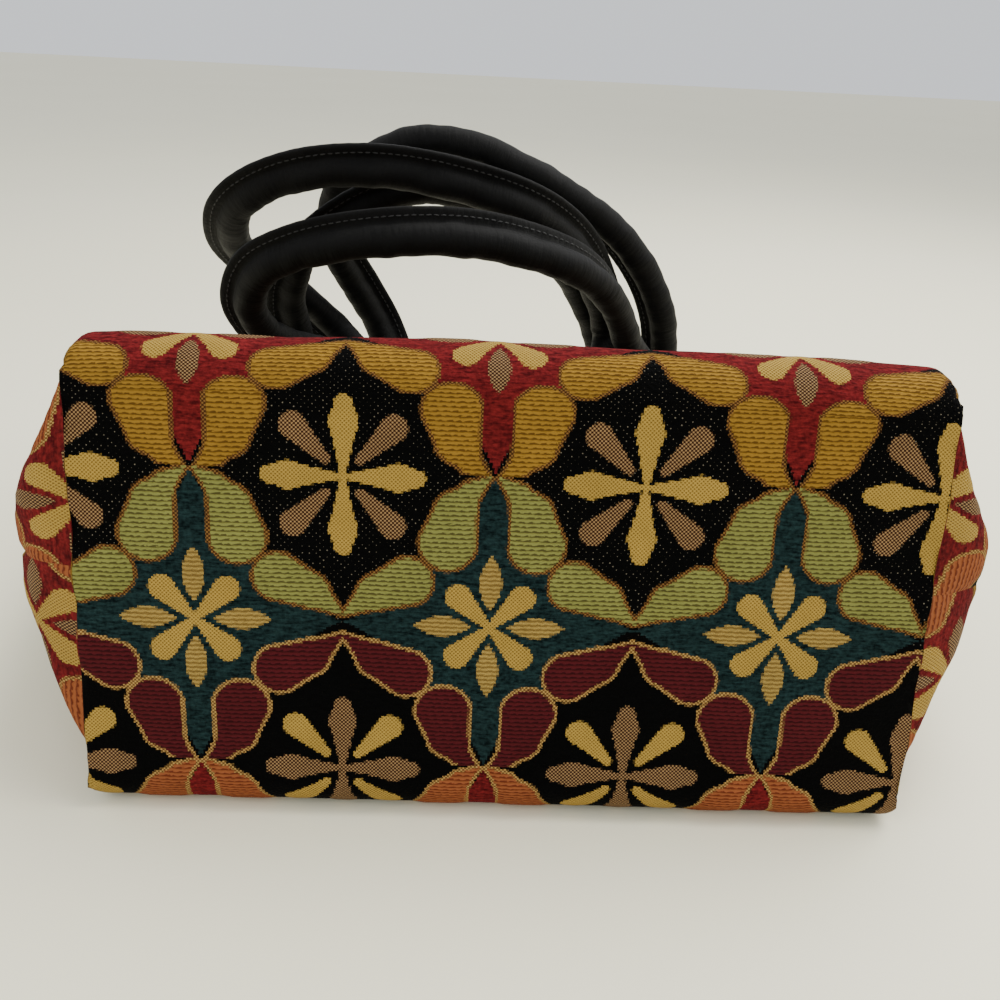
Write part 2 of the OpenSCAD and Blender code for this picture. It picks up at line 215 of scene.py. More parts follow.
@dataclass(frozen=True)
class Pattern:
    """Clusters of eight petals round a flower, in rows of two colourings, with a flower between.

    Sizes are in millimetres of cloth: u runs across the bag and v runs up its base.
    """

    repeat_u: float = 85.0
    repeat_v: float = 90.9
    first_u: float = -5.0
    first_v: float = 64.2
    between_v: float = 107.9
    step: float = 0.75

    def areas(self, u: Number, v: Number) -> Areas:
        """Works out every area of the pattern at a place on the cloth.

        Args:
            u: Place across the cloth.
            v: Place up the cloth.

        Returns:
            The areas, as fields for nodes or as arrays for arrays.
        """
        x = size_of(wrapped(u - self.first_u, self.repeat_u))
        dv = wrapped(v - self.first_v, self.repeat_v)
        y = size_of(dv + 1.0) - 1.0
        tall = blended(stroke(x, y, (1.4, 44.8, 0.3), (6.8, 40.4, 2.7)),
                       stroke(x, y, (6.8, 40.4, 2.7), (10.7, 34.6, 5.6)), 1.2)
        tall = blended(tall, stroke(x, y, (10.7, 34.6, 5.6), (12.7, 25.4, 7.8)), 1.2)
        wide = blended(stroke(x, y, (42.2, 2.4, 0.3), (33.2, 9.3, 4.9)),
                       stroke(x, y, (33.2, 9.3, 4.9), (24.0, 13.3, 6.9)), 1.5)
        cluster = power(x / 42.5, 0.8) + power(size_of(dv) / 45.45, 0.8) - 1.0
        full_row = wrapped(v - self.first_v, 2 * self.repeat_v)
        loose, joined = self.flower(x, size_of(dv), joined_turn=True)
        bx = size_of(wrapped(u - self.first_u - self.repeat_u / 2, self.repeat_u))
        by = size_of(wrapped(v - self.between_v, self.repeat_v))
        outer_loose, outer_joined = self.flower(bx, by, joined_turn=False)
        between_row = wrapped(v - self.between_v, 2 * self.repeat_v)
        return Areas(
            petals=least(tall, wide),
            cluster=cluster,
            upper_half=rise(dv, -0.2, 0.2),
            first_ground=rise(self.repeat_v / 2 - size_of(full_row), -0.2, 0.2),
            inner_joined=joined,
            inner_loose=loose,
            outer_joined=outer_joined,
            outer_loose=outer_loose,
            outer_first=rise(self.repeat_v / 2 - size_of(between_row), -0.2, 0.2),
        )

    @staticmethod
    def flower(x: Number, y: Number, joined_turn: bool) -> tuple[Number, Number]:
        """Distances from a flower's four loose petals and from its four joined ones.

        Args:
            x: Place across from the flower's middle, without its sign.
            y: Place up from the flower's middle, without its sign.
            joined_turn: True where the joined petals are the diagonal ones.

        Returns:
            The distances from the loose petals and from the joined petals.
        """
        far, near = most(x, y), least(x, y)
        diagonal, off = (x + y) * math.sqrt(0.5), size_of(x - y) * math.sqrt(0.5)
        if joined_turn:
            bend = (far - 13.6) / 8.4
            loose = near - 3.2 + bend * bend * 3.2
            joined = stroke(diagonal, off, (0.0, 0.0, 0.9), (13.0, 0.0, 3.9))
            return loose, joined
        loose = stroke(diagonal, off, (6.8, 0.0, 1.4), (19.8, 0.0, 3.9))
        body = stroke(far, near, (0.0, 0.0, 0.7), (15.4, 0.0, 3.9))
        tip = stroke(far, near, (15.4, 0.0, 3.9), (20.6, 0.0, 2.6))
        return loose, blended(body, tip, 2.0)

    def relief(self, u: np.ndarray, v: np.ndarray) -> np.ndarray:
        """Height in millimetres that the padded petals and flowers stand out of the cloth."""
        a = self.areas(u, v)
        flowers = least(least(a.inner_joined, a.inner_loose), least(a.outer_joined, a.outer_loose))
        return 0.45 * rise(-a.petals, -0.8, 2.6) + 0.25 * rise(-flowers, -0.8, 1.6)


# Finishes --------------------------------------------------------------------------------------

class Tree:
    """Short ways to add nodes to one material."""

    def __init__(self, name: str, roughness: float) -> None:
        """Makes the material with its surface shader.

        Args:
            name: The material's name.
            roughness: The surface's roughness where nothing else drives it.
        """
        self.material = bpy.data.materials.new(name)
        self.material.use_nodes = True
        self.nodes = self.material.node_tree.nodes
        self.links = self.material.node_tree.links
        self.shader = self.nodes["Principled BSDF"]
        self.shader.inputs["Roughness"].default_value = roughness

    def add(self, kind: str, **values: object) -> bpy.types.Node:
        """Adds a node and sets its properties."""
        node = self.nodes.new(kind)
        for name, value in values.items():
            setattr(node, name, value)
        return node

    def field(self, socket: bpy.types.NodeSocket) -> Field:
        """Wraps a socket as a field."""
        return Field(self.material.node_tree, socket)

    def cloth(self, name: str) -> tuple[Field, Field]:
        """Reads a cloth place, in millimetres, from the UV map of that name."""
        read = self.add("ShaderNodeAttribute", attribute_name=name)
        split = self.add("ShaderNodeSeparateXYZ")
        self.links.new(read.outputs["Vector"], split.inputs[0])
        across, up = split.outputs[0], split.outputs[1]
        return self.field(across) * PER_METRE, self.field(up) * PER_METRE

    def vector(self, *parts: Union[Field, float]) -> bpy.types.NodeSocket:
        """Joins up to three numbers into a vector."""
        join = self.add("ShaderNodeCombineXYZ")
        for socket, part in zip(join.inputs, parts):
            if isinstance(part, Field):
                self.links.new(part.socket, socket)
            else:
                socket.default_value = part
        return join.outputs[0]

    def noise(self, vector: Optional[bpy.types.NodeSocket], scale: float,
              detail: float = 2.0) -> Field:
        """Adds a noise texture.

        Args:
            vector: Where it is read, or None for the object's own coordinates.
            scale: Its scale in those coordinates.
            detail: Its number of finer layers.

        Returns:
            The noise, about 0 to 1.
        """
        if vector is None:
            vector = self.add("ShaderNodeTexCoord").outputs["Object"]
        node = self.add("ShaderNodeTexNoise")
        node.inputs["Scale"].default_value = scale
        node.inputs["Detail"].default_value = detail
        self.links.new(vector, node.inputs["Vector"])
        return self.field(node.outputs[0])

    def mix(self, share: Field, low: "Paint", high: "Paint") -> bpy.types.NodeSocket:
        """Mixes two colours.

        Args:
            share: 0 for the first colour and 1 for the second.
            low: The first colour, plain or from a node.
            high: The second colour.

        Returns:
            The mixed colour.
        """
        node = self.add("ShaderNodeMix", data_type="RGBA", clamp_factor=True)
        self.links.new(share.socket, node.inputs["Factor"])
        for socket, paint in ((node.inputs[6], low), (node.inputs[7], high)):
            if isinstance(paint, tuple):
                socket.default_value = (*paint, 1.0)
            else:
                self.links.new(paint, socket)
        return node.outputs[2]

    def finish(self, colour: bpy.types.NodeSocket, height: Field, depth: float,
               roughness: Optional[Field] = None) -> bpy.types.Material:
        """Joins colour, roughness and bump to the shader.

        Args:
            colour: The surface's colour.
            height: The bump's height, where 1 is its full depth.
            depth: The bump's depth in metres.
            roughness: The surface's roughness, where it varies.

        Returns:
            The finished material.
        """
        self.links.new(colour, self.shader.inputs["Base Color"])
        bump = self.add("ShaderNodeBump")
        bump.inputs["Strength"].default_value = 1.0
        bump.inputs["Distance"].default_value = depth
        self.links.new(height.socket, bump.inputs["Height"])
        self.links.new(bump.outputs[0], self.shader.inputs["Normal"])
        if roughness is not None:
            self.links.new(roughness.socket, self.shader.inputs["Roughness"])
        return self.material


Paint = Union[Colour, bpy.types.NodeSocket]


@dataclass(frozen=True)
class Yarn:
    """One area's yarns: its main colour and the darker thread between ribs, on petals partly painted
    shade.
    """

    main: Colour
    between: Colour


@dataclass(frozen=True)
class TapestryFinish:
    """Jacquard tapestry: ribbed yarn petals on a chenille ground, with stepped outlines."""

    name: str = "tapestry_cloth"
    green: Yarn = Yarn((0.198, 0.202, 0.053), (0.060, 0.052, 0.014))
    burgundy: Yarn = Yarn((0.068, 0.0076, 0.0100), (0.026, 0.0032, 0.0044))
    yellow: Yarn = Yarn((0.265, 0.144, 0.0200), (0.090, 0.042, 0.006))
    orange: Yarn = Yarn((0.26, 0.078, 0.026), (0.11, 0.022, 0.009))
    gold: Yarn = Yarn((0.39, 0.25, 0.053), (0.15, 0.085, 0.013))
    tan: Yarn = Yarn((0.35, 0.235, 0.062), (0.15, 0.09, 0.021))
    speckle: Yarn = Yarn((0.29, 0.175, 0.076), (0.026, 0.0075, 0.003))
    brown_line: Yarn = Yarn((0.19, 0.095, 0.026), (0.045, 0.017, 0.005))
    tan_line: Yarn = Yarn((0.38, 0.235, 0.075), (0.12, 0.06, 0.016))
    teal: Yarn = Yarn((0.0115, 0.0290, 0.030), (0.001, 0.004, 0.0045))
    red: Yarn = Yarn((0.160, 0.0130, 0.014), (0.042, 0.003, 0.004))
    black: Yarn = Yarn((0.0008, 0.0008, 0.0009), (0.0002, 0.0002, 0.0002))
    fleck: Colour = (0.15, 0.13, 0.095)
    rib: float = 1.35
    dash: float = 2.7
    basket: float = 1.15
    fleck_step: float = 2.0
    wander: float = 0.9
    bump: float = 0.00045

    def make(self, pattern: Pattern) -> bpy.types.Material:
        """Makes the tapestry's material from the pattern's areas."""
        tree = Tree(self.name, 0.85)
        u, v = tree.cloth("UVMap")
        fuzz = tree.noise(tree.vector(u, v, 0.0), 0.9, 3.0)
        coarse = tree.noise(tree.vector(u, v, 0.0), 0.07, 2.0)
        wander = (fuzz - 0.5) * self.wander
        a = pattern.areas(stepped(u + wander, pattern.step), stepped(v + wander, pattern.step))
        streaks = tree.noise(tree.vector(u * 0.45, v * 1.7, 3.0), 0.8, 2.0)
        row_shift = stepped(v, self.rib) * 0.37
        dashes = wave((u + row_shift) / self.dash + fuzz * 0.9 + streaks * 1.3)
        ribs = wave(v / self.rib + dashes * 0.08 + streaks * 0.35) * 0.5 + 0.5
        basket = wave(u / self.basket + wander * 0.3) * wave(v / self.basket) * 0.5 + 0.5
        chenille = rise(fuzz * 0.4 + streaks * 0.6, 0.36, 0.64)
        # Low rib_share marks the grooves of the petals' rib bump; the darker colour there is partly
        # painted shade.
        rib_share = rise(ribs + dashes * 0.16 + (fuzz - 0.5) * 0.5, 0.10, 0.48)
        basket_share = rise(basket, 0.15, 0.6)
        speckle_share = rise(basket, 0.47, 0.64)

        def woven(share: Field, yarn: Yarn) -> bpy.types.NodeSocket:
            """Colour of one area where this share of its main yarn shows."""
            return tree.mix(share, yarn.between, yarn.main)

        def inside(distance: Field, soft: float = 0.12) -> Field:
            """Share of an area that a signed distance says is inside."""
            return rise(-distance, -soft, soft)

        fleck_grid = wave(u / self.fleck_step) * wave(v / self.fleck_step)
        flecks = rise(fleck_grid + (fuzz - 0.5) * 1.1, 0.92, 1.06) * a.outer_first
        black = tree.mix(flecks, woven(chenille, self.black), self.fleck)
        ground = tree.mix(a.first_ground, woven(chenille, self.red), woven(chenille, self.teal))
        loose = tree.mix(a.first_ground, woven(speckle_share, self.speckle), woven(ribs, self.tan))
        gold = woven(basket_share, self.gold)
        speckled = woven(speckle_share, self.speckle)
        in_cluster = inside(a.cluster, 0.004)
        ground = tree.mix(inside(a.inner_loose), ground, loose)
        ground = tree.mix(inside(a.inner_joined), ground, gold)
        black = tree.mix(inside(a.outer_loose), black, tree.mix(a.outer_first, gold, speckled))
        black = tree.mix(inside(a.outer_joined), black, tree.mix(a.outer_first, speckled, gold))
        cloth = tree.mix(in_cluster, black, ground)
        # Petals: the darker colour in the rib grooves is partly the thread between ribs and partly
        # painted shade.
        top = tree.mix(a.first_ground, woven(rib_share, self.orange), woven(rib_share, self.green))
        low = tree.mix(a.first_ground, woven(rib_share, self.yellow),
                       woven(rib_share, self.burgundy))
        petal = tree.mix(a.upper_half, low, top)
        brown = woven(speckle_share, self.brown_line)
        pale = woven(speckle_share, self.tan_line)
        top_line = tree.mix(a.first_ground, pale, brown)
        low_line = tree.mix(a.first_ground, brown, pale)
        line = tree.mix(a.upper_half, low_line, top_line)
        cloth = tree.mix(inside(a.petals - 1.15), cloth, line)
        cloth = tree.mix(inside(a.petals - 0.05), cloth, petal)
        tone = rise(coarse, 0.2, 0.8) * 0.24 + 0.88
        shade = tree.add("ShaderNodeMix", data_type="RGBA", blend_type="MULTIPLY")
        shade.inputs["Factor"].default_value = 1.0
        tree.links.new(cloth, shade.inputs[6])
        tree.links.new(tree.vector(tone, tone, tone), shade.inputs[7])

        petal_share = inside(a.petals, 0.5)
        flowers = least(least(a.inner_joined, a.inner_loose), least(a.outer_joined, a.outer_loose))
        flower_share = inside(flowers, 0.4) * (1.0 - petal_share)
        rest = (1.0 - petal_share) * (1.0 - flower_share)
        height = petal_share * (ribs * 0.7 + 0.5) + flower_share * (basket * 0.6 + 0.45)
        height = height + rest * fuzz * 0.9 + fuzz * 0.25
        shine = 0.9 - flower_share * 0.30 - petal_share * 0.14
        tree.shader.inputs["Specular IOR Level"].default_value = 0.05
        return tree.finish(shade.outputs[2], height, self.bump, shine)


@dataclass(frozen=True)
class StrandFinish:
    """Black brushed microfibre of the rolled strands, with a fine twill and lint."""

    name: str = "strand_cloth"
    main: Colour = (0.0016, 0.0016, 0.0015)
    worn: Colour = (0.0048, 0.0047, 0.0044)

    def make(self) -> bpy.types.Material:
        """Makes the strand cloth's material."""
        tree = Tree(self.name, 0.62)
        u, v = tree.cloth("UVMap")
        lint = tree.noise(None, 900.0, 3.0)
        patches = tree.noise(None, 60.0, 2.0)
        creases = tree.noise(tree.vector(u * 0.25, v * 0.9, 0.0), 0.55, 3.0)
        twill = wave((u + v) / 0.55) * 0.5 + 0.5
        colour = tree.mix(rise(patches * 0.6 + lint * 0.4, 0.45, 0.75), self.main, self.worn)
        height = creases * 0.9 + twill * 0.12 + lint * 0.12
        tree.shader.inputs["Sheen Weight"].default_value = 0.02
        tree.shader.inputs["Sheen Roughness"].default_value = 0.45
        tree.shader.inputs["Specular IOR Level"].default_value = 0.10
        return tree.finish(colour, height, 0.0006, rise(patches, 0.2, 0.8) * 0.16 + 0.52)


class Weave(Enum):
    """Weaves of the plain cloths: threads in a millimetre across and along."""

    SATIN = (3.2, 1.1)
    GROSGRAIN = (0.4, 1.6)
    PLAIN = (1.7, 1.7)


@dataclass(frozen=True)
class PlainClothFinish:
    """A plain woven cloth in one colour, with its thread relief and uneven tone."""

    name: str
    main: Colour
    dark: Colour
    weave: Weave
    roughness: float

    def make(self) -> bpy.types.Material:
        """Makes the cloth's material."""
        tree = Tree(self.name, self.roughness)
        place = tree.add("ShaderNodeTexCoord").outputs["Object"]
        split = tree.add("ShaderNodeSeparateXYZ")
        tree.links.new(place, split.inputs[0])
        across = tree.field(split.outputs[0]) * (PER_METRE * self.weave.value[0])
        along = (tree.field(split.outputs[1]) + tree.field(split.outputs[2])) \
            * (PER_METRE * self.weave.value[1])
        threads = wave(across) * wave(along) * 0.5 + 0.5
        tone = tree.noise(None, 45.0, 3.0)
        colour = tree.mix(rise(tone * 0.5 + threads * 0.5, 0.25, 0.75), self.dark, self.main)
        tree.shader.inputs["Sheen Weight"].default_value = 0.1
        return tree.finish(colour, threads + tone * 0.8, 0.0002)


@dataclass(frozen=True)
class MetalFinish:
    """Brushed brass of the magnetic snap, a little tarnished."""

    name: str = "snap_brass"
    bright: Colour = (0.72, 0.52, 0.24)
    tarnish: Colour = (0.36, 0.22, 0.09)

    def make(self) -> bpy.types.Material:
        """Makes the metal's material."""
        tree = Tree(self.name, 0.3)
        tree.shader.inputs["Metallic"].default_value = 1.0
        spots = tree.noise(None, 350.0, 4.0)
        brushed = tree.noise(None, 2400.0, 1.0)
        colour = tree.mix(rise(spots, 0.35, 0.75), self.bright, self.tarnish)
        return tree.finish(colour, brushed, 0.00004, rise(spots, 0.2, 0.9) * 0.25 + 0.22)


@dataclass(frozen=True)
class FibreFinish:
    """Pressed board or twisted cord: a pale fibre with mottled tone."""

    name: str
    main: Colour
    dark: Colour
    twist: float

    def make(self) -> bpy.types.Material:
        """Makes the fibre's material."""
        tree = Tree(self.name, 0.88)
        grain = tree.noise(None, 420.0, 4.0)
        mottle = tree.noise(None, 55.0, 2.0)
        split = tree.add("ShaderNodeSeparateXYZ")
        tree.links.new(tree.add("ShaderNodeTexCoord").outputs["Object"], split.inputs[0])
        x, y, z = (tree.field(output) for output in split.outputs)
        spiral = x + y + z
        lay = wave(spiral * self.twist) * 0.5 + 0.5
        colour = tree.mix(rise(grain * 0.6 + mottle * 0.4, 0.3, 0.7), self.dark, self.main)
        return tree.finish(colour, grain + lay * 0.7, 0.0003)


@dataclass(frozen=True)
class TableFinish:
    """Pale painted table top with a faint unevenness."""

    name: str = "table_paint"
    main: Colour = (0.97, 0.925, 0.70)
    shade: Colour = (0.95, 0.905, 0.68)

    def make(self) -> bpy.types.Material:
        """Makes the table's material."""
        tree = Tree(self.name, 0.55)
        cloudy = tree.noise(None, 3.0, 2.0)
        fine = tree.noise(None, 600.0, 2.0)
        return tree.finish(tree.mix(rise(cloudy, 0.3, 0.7), self.shade, self.main), fine, 0.00003,
                           rise(fine, 0.2, 0.8) * 0.1 + 0.5)


@dataclass
class Finishes:
    """All the bag's materials, made once."""

    pattern: Pattern
    tapestry: bpy.types.Material = field(init=False)
    strand: bpy.types.Material = field(init=False)
    lining: bpy.types.Material = field(init=False)
    facing: bpy.types.Material = field(init=False)
    thread: bpy.types.Material = field(init=False)
    board: bpy.types.Material = field(init=False)
    cord: bpy.types.Material = field(init=False)
    metal: bpy.types.Material = field(init=False)

    def __post_init__(self) -> None:
        """Makes every material."""
        self.tapestry = TapestryFinish().make(self.pattern)
        self.strand = StrandFinish().make()
        self.lining = PlainClothFinish("lining_satin", (0.022, 0.022, 0.025),
                                       (0.012, 0.012, 0.014), Weave.SATIN, 0.42).make()
        self.facing = PlainClothFinish("facing_grosgrain", (0.015, 0.015, 0.017),
                                       (0.008, 0.008, 0.009), Weave.GROSGRAIN, 0.7).make()
        self.thread = PlainClothFinish("sewing_thread", (0.009, 0.009, 0.009),
                                       (0.004, 0.004, 0.004), Weave.PLAIN, 0.5).make()
        self.board = FibreFinish("pressed_board", (0.30, 0.28, 0.24),
                                 (0.18, 0.165, 0.14), 40.0).make()
        self.cord = FibreFinish("twisted_cord", (0.72, 0.68, 0.60),
                                (0.45, 0.41, 0.34), 260.0).make()
        self.metal = MetalFinish().make()


# Meshes ----------------------------------------------------------------------------------------

def link_mesh(name: str, points: np.ndarray, faces: np.ndarray, uv: Optional[np.ndarray],
              material: bpy.types.Material) -> bpy.types.Object:
    """Makes an object at the origin from points in millimetres.

    Args:
        name: The piece's name.
        points: Its vertices, n by 3.
        faces: Its faces, m by 4, where a triangle repeats its last vertex.
        uv: A cloth place in millimetres for each face corner, m by 4 by 2, or None.
        material: Its finish.

    Returns:
        The new object, smooth shaded.
    """
    mesh = bpy.data.meshes.new(name)
    triangle = faces[:, 2] == faces[:, 3]
    sizes = np.where(triangle, 3, 4)
    keep = np.ones(faces.shape, bool)
    keep[triangle, 3] = False
    mesh.vertices.add(len(points))
    mesh.vertices.foreach_set("co", (points * MM).astype(np.float32).ravel())
    mesh.loops.add(int(sizes.sum()))
    mesh.loops.foreach_set("vertex_index", faces[keep].astype(np.int32))
    mesh.polygons.add(len(faces))
    starts = np.concatenate([[0], np.cumsum(sizes)[:-1]])
    mesh.polygons.foreach_set("loop_start", starts.astype(np.int32))
    mesh.update(calc_edges=True)
    if uv is not None:
        layer = mesh.uv_layers.new(name="UVMap")
        layer.data.foreach_set("uv", (uv[keep] * MM).astype(np.float32).ravel())
    mesh.shade_smooth()
    mesh.validate()
    mesh.materials.append(material)
    piece = bpy.data.objects.new(name, mesh)
    bpy.context.scene.collection.objects.link(piece)
    return piece


def ring_faces(rows: int, count: int, closed_rows: bool = False) -> np.ndarray:
    """Quads between rows of a tube whose rows have count points each.

    Args:
        rows: Number of rows.
        count: Points in a row.
        closed_rows: True where the last row joins the first.

    Returns:
        The faces, one for each row and place, in that order.
    """
    here = np.arange(rows if closed_rows else rows - 1)[:, None] * count
    there = (here + count) % (rows * count)
    i = np.arange(count)[None, :]
    j = (i + 1) % count
    return np.stack([here + i, there + i, there + j, here + j], -1).reshape(-1, 4)


def ease(t: Number) -> Number:
    """Smooth rise from 0 to 1."""
    c = np.clip(t, 0.0, 1.0)
    return c * c * (3 - 2 * c)


@dataclass(frozen=True)
class Row:
    """One section of a skin: its points, their cloth places and where it stands on the cloth."""

    points: np.ndarray
    along: np.ndarray
    cloth: float
    on_base: bool = False


@dataclass
class BagForm:
    """Outer form of the bag, a boxed base that narrows to a lens-shaped mouth. Millimetres."""

    base_w: float = 250.0
    base_d: float = 143.0
    body_h: float = 230.0
    fold_r: float = 12.0
    seam_r: float = 1.0
    base_lean: float = 11.5
    corner_r: float = 7.0
    mouth_gap: float = 56.0
    mouth_lift: float = 8.0
    flat_share: float = 0.7
    square_share: float = 0.13
    droop: float = 6.0
    droop_from: float = 40.0

    def ring_length(self) -> float:
        """Length round any section."""
        return 2 * (self.base_w + self.base_d) - (8 - 2 * math.pi) * self.corner_r

    def depth(self, s: float) -> float:
        """Depth of the section at a share s of the body's length."""
        return self.mouth_gap + (self.base_d - self.mouth_gap) * (1 - s) ** 1.5

    def lift(self, s: float) -> float:
        """Height of the back panel off the table."""
        return self.mouth_lift * (max(0.0, s - self.flat_share) / (1 - self.flat_share)) ** 2

    def corner(self, s: float) -> float:
        """Radius of the section's corners."""
        share = min(1.0, s / self.square_share)
        return self.corner_r + (self.depth(s) / 2 - self.corner_r) * math.sin(math.pi / 2 * share)

    def half_width(self, s: float) -> float:
        """Half of the section's width."""
        return self.ring_length() / 4 - self.depth(s) / 2 + (2 - math.pi / 2) * self.corner(s)

    @staticmethod
    def pinch(s: float) -> float:
        """Share of the depth that the section loses at its two ends."""
        return 0.3 * float(ease((s - 0.5) / 0.5))

    def section(self, count: int, a: float, b: float, r: float) -> tuple[np.ndarray, np.ndarray]:
        """Rounded rectangle from the left side seam over the top, at even steps.

        Args:
            count: Number of points.
            a: Half width.
            b: Half depth.
            r: Corner radius.

        Returns:
            Its points, and each one's distance along the cloth from the middle of its panel.
        """
        bend = math.pi * r / 2
        whole = a + b - 2 * r + bend
        m = count // 4
        i = np.arange(count + 1)
        part, k = np.divmod(i, m)
        t = np.where(part % 2 == 0, k, m - k) / m * whole
        turn = (t - b + r) / r
        side, cornered = t < b - r, t < b - r + bend
        x = np.where(side, a, np.where(cornered, a - r + r * np.cos(turn), whole - t))
        z = np.where(side, t, np.where(cornered, b - r + r * np.sin(turn), b))
        sign_x = np.where((part % 4 == 0) | (part % 4 == 3), -1.0, 1.0)
        sign_z = np.where(part % 4 < 2, 1.0, -1.0)
        from_middle = whole - t
        side_start = a - r
        side_u = (self.base_w + self.base_d) / 2
        stretch = (side_u - side_start) / (whole - side_start)
        past = from_middle - side_start
        u = np.where(past < 0, from_middle, side_start + past * stretch)
        return np.stack([x * sign_x, z * sign_z], -1), u * sign_x

    def row(self, s: float, inset: float, cloth: float, count: int,
            side_inset: Optional[float] = None, y_shift: float = 0.0,
            on_base: bool = False) -> Row:
        """Section of a skin at a depth inside the outer face.

        Args:
            s: Share of the body's length.
            inset: Depth inside the panels.
            cloth: Distance along the cloth past the base's edge.
            count: Points round the section.
            side_inset: Depth inside the ends, where it differs.
            y_shift: Shift along the body, as in the base's folds.
            on_base: True for a row that belongs to the base's flat face.

        Returns:
            The row, whose last point repeats its first.
        """
        half_d, half_w = self.depth(s) / 2, self.half_width(s)
        a = half_w - (inset if side_inset is None else side_inset)
        r = max(self.corner(s) - inset, 0.6)
        flat, along = self.section(count, a, half_d - inset, r)
        swell = half_d + flat[:, 1] * (1 - self.pinch(s) * (flat[:, 0] / half_w) ** 2)
        return Row(self.place(s, flat[:, 0], swell, y_shift), along, cloth, on_base)

    def place(self, s: float, x: np.ndarray, swell: np.ndarray, y_shift: float) -> np.ndarray:
        """Points of the section at s whose heights above the back panel are swell."""
        span = self.base_w / 2 - self.droop_from
        far_out = np.clip((np.abs(x) - self.droop_from) / span, 0, 1.2)
        behind = (0.35 + 0.65 * float(ease(s / 0.06))) * float(ease((1 - s) / 0.5))
        swell = swell - self.droop * behind * far_out ** 1.6 * (swell / self.depth(s)) ** 3
        lean = math.radians(self.base_lean) * (1 - s)
        y = self.fold_r + s * (self.body_h - self.fold_r) + swell * math.sin(lean) \
            - self.body_h / 2 + y_shift
        return np.stack([x, y, self.lift(s) + swell * math.cos(lean)], -1)


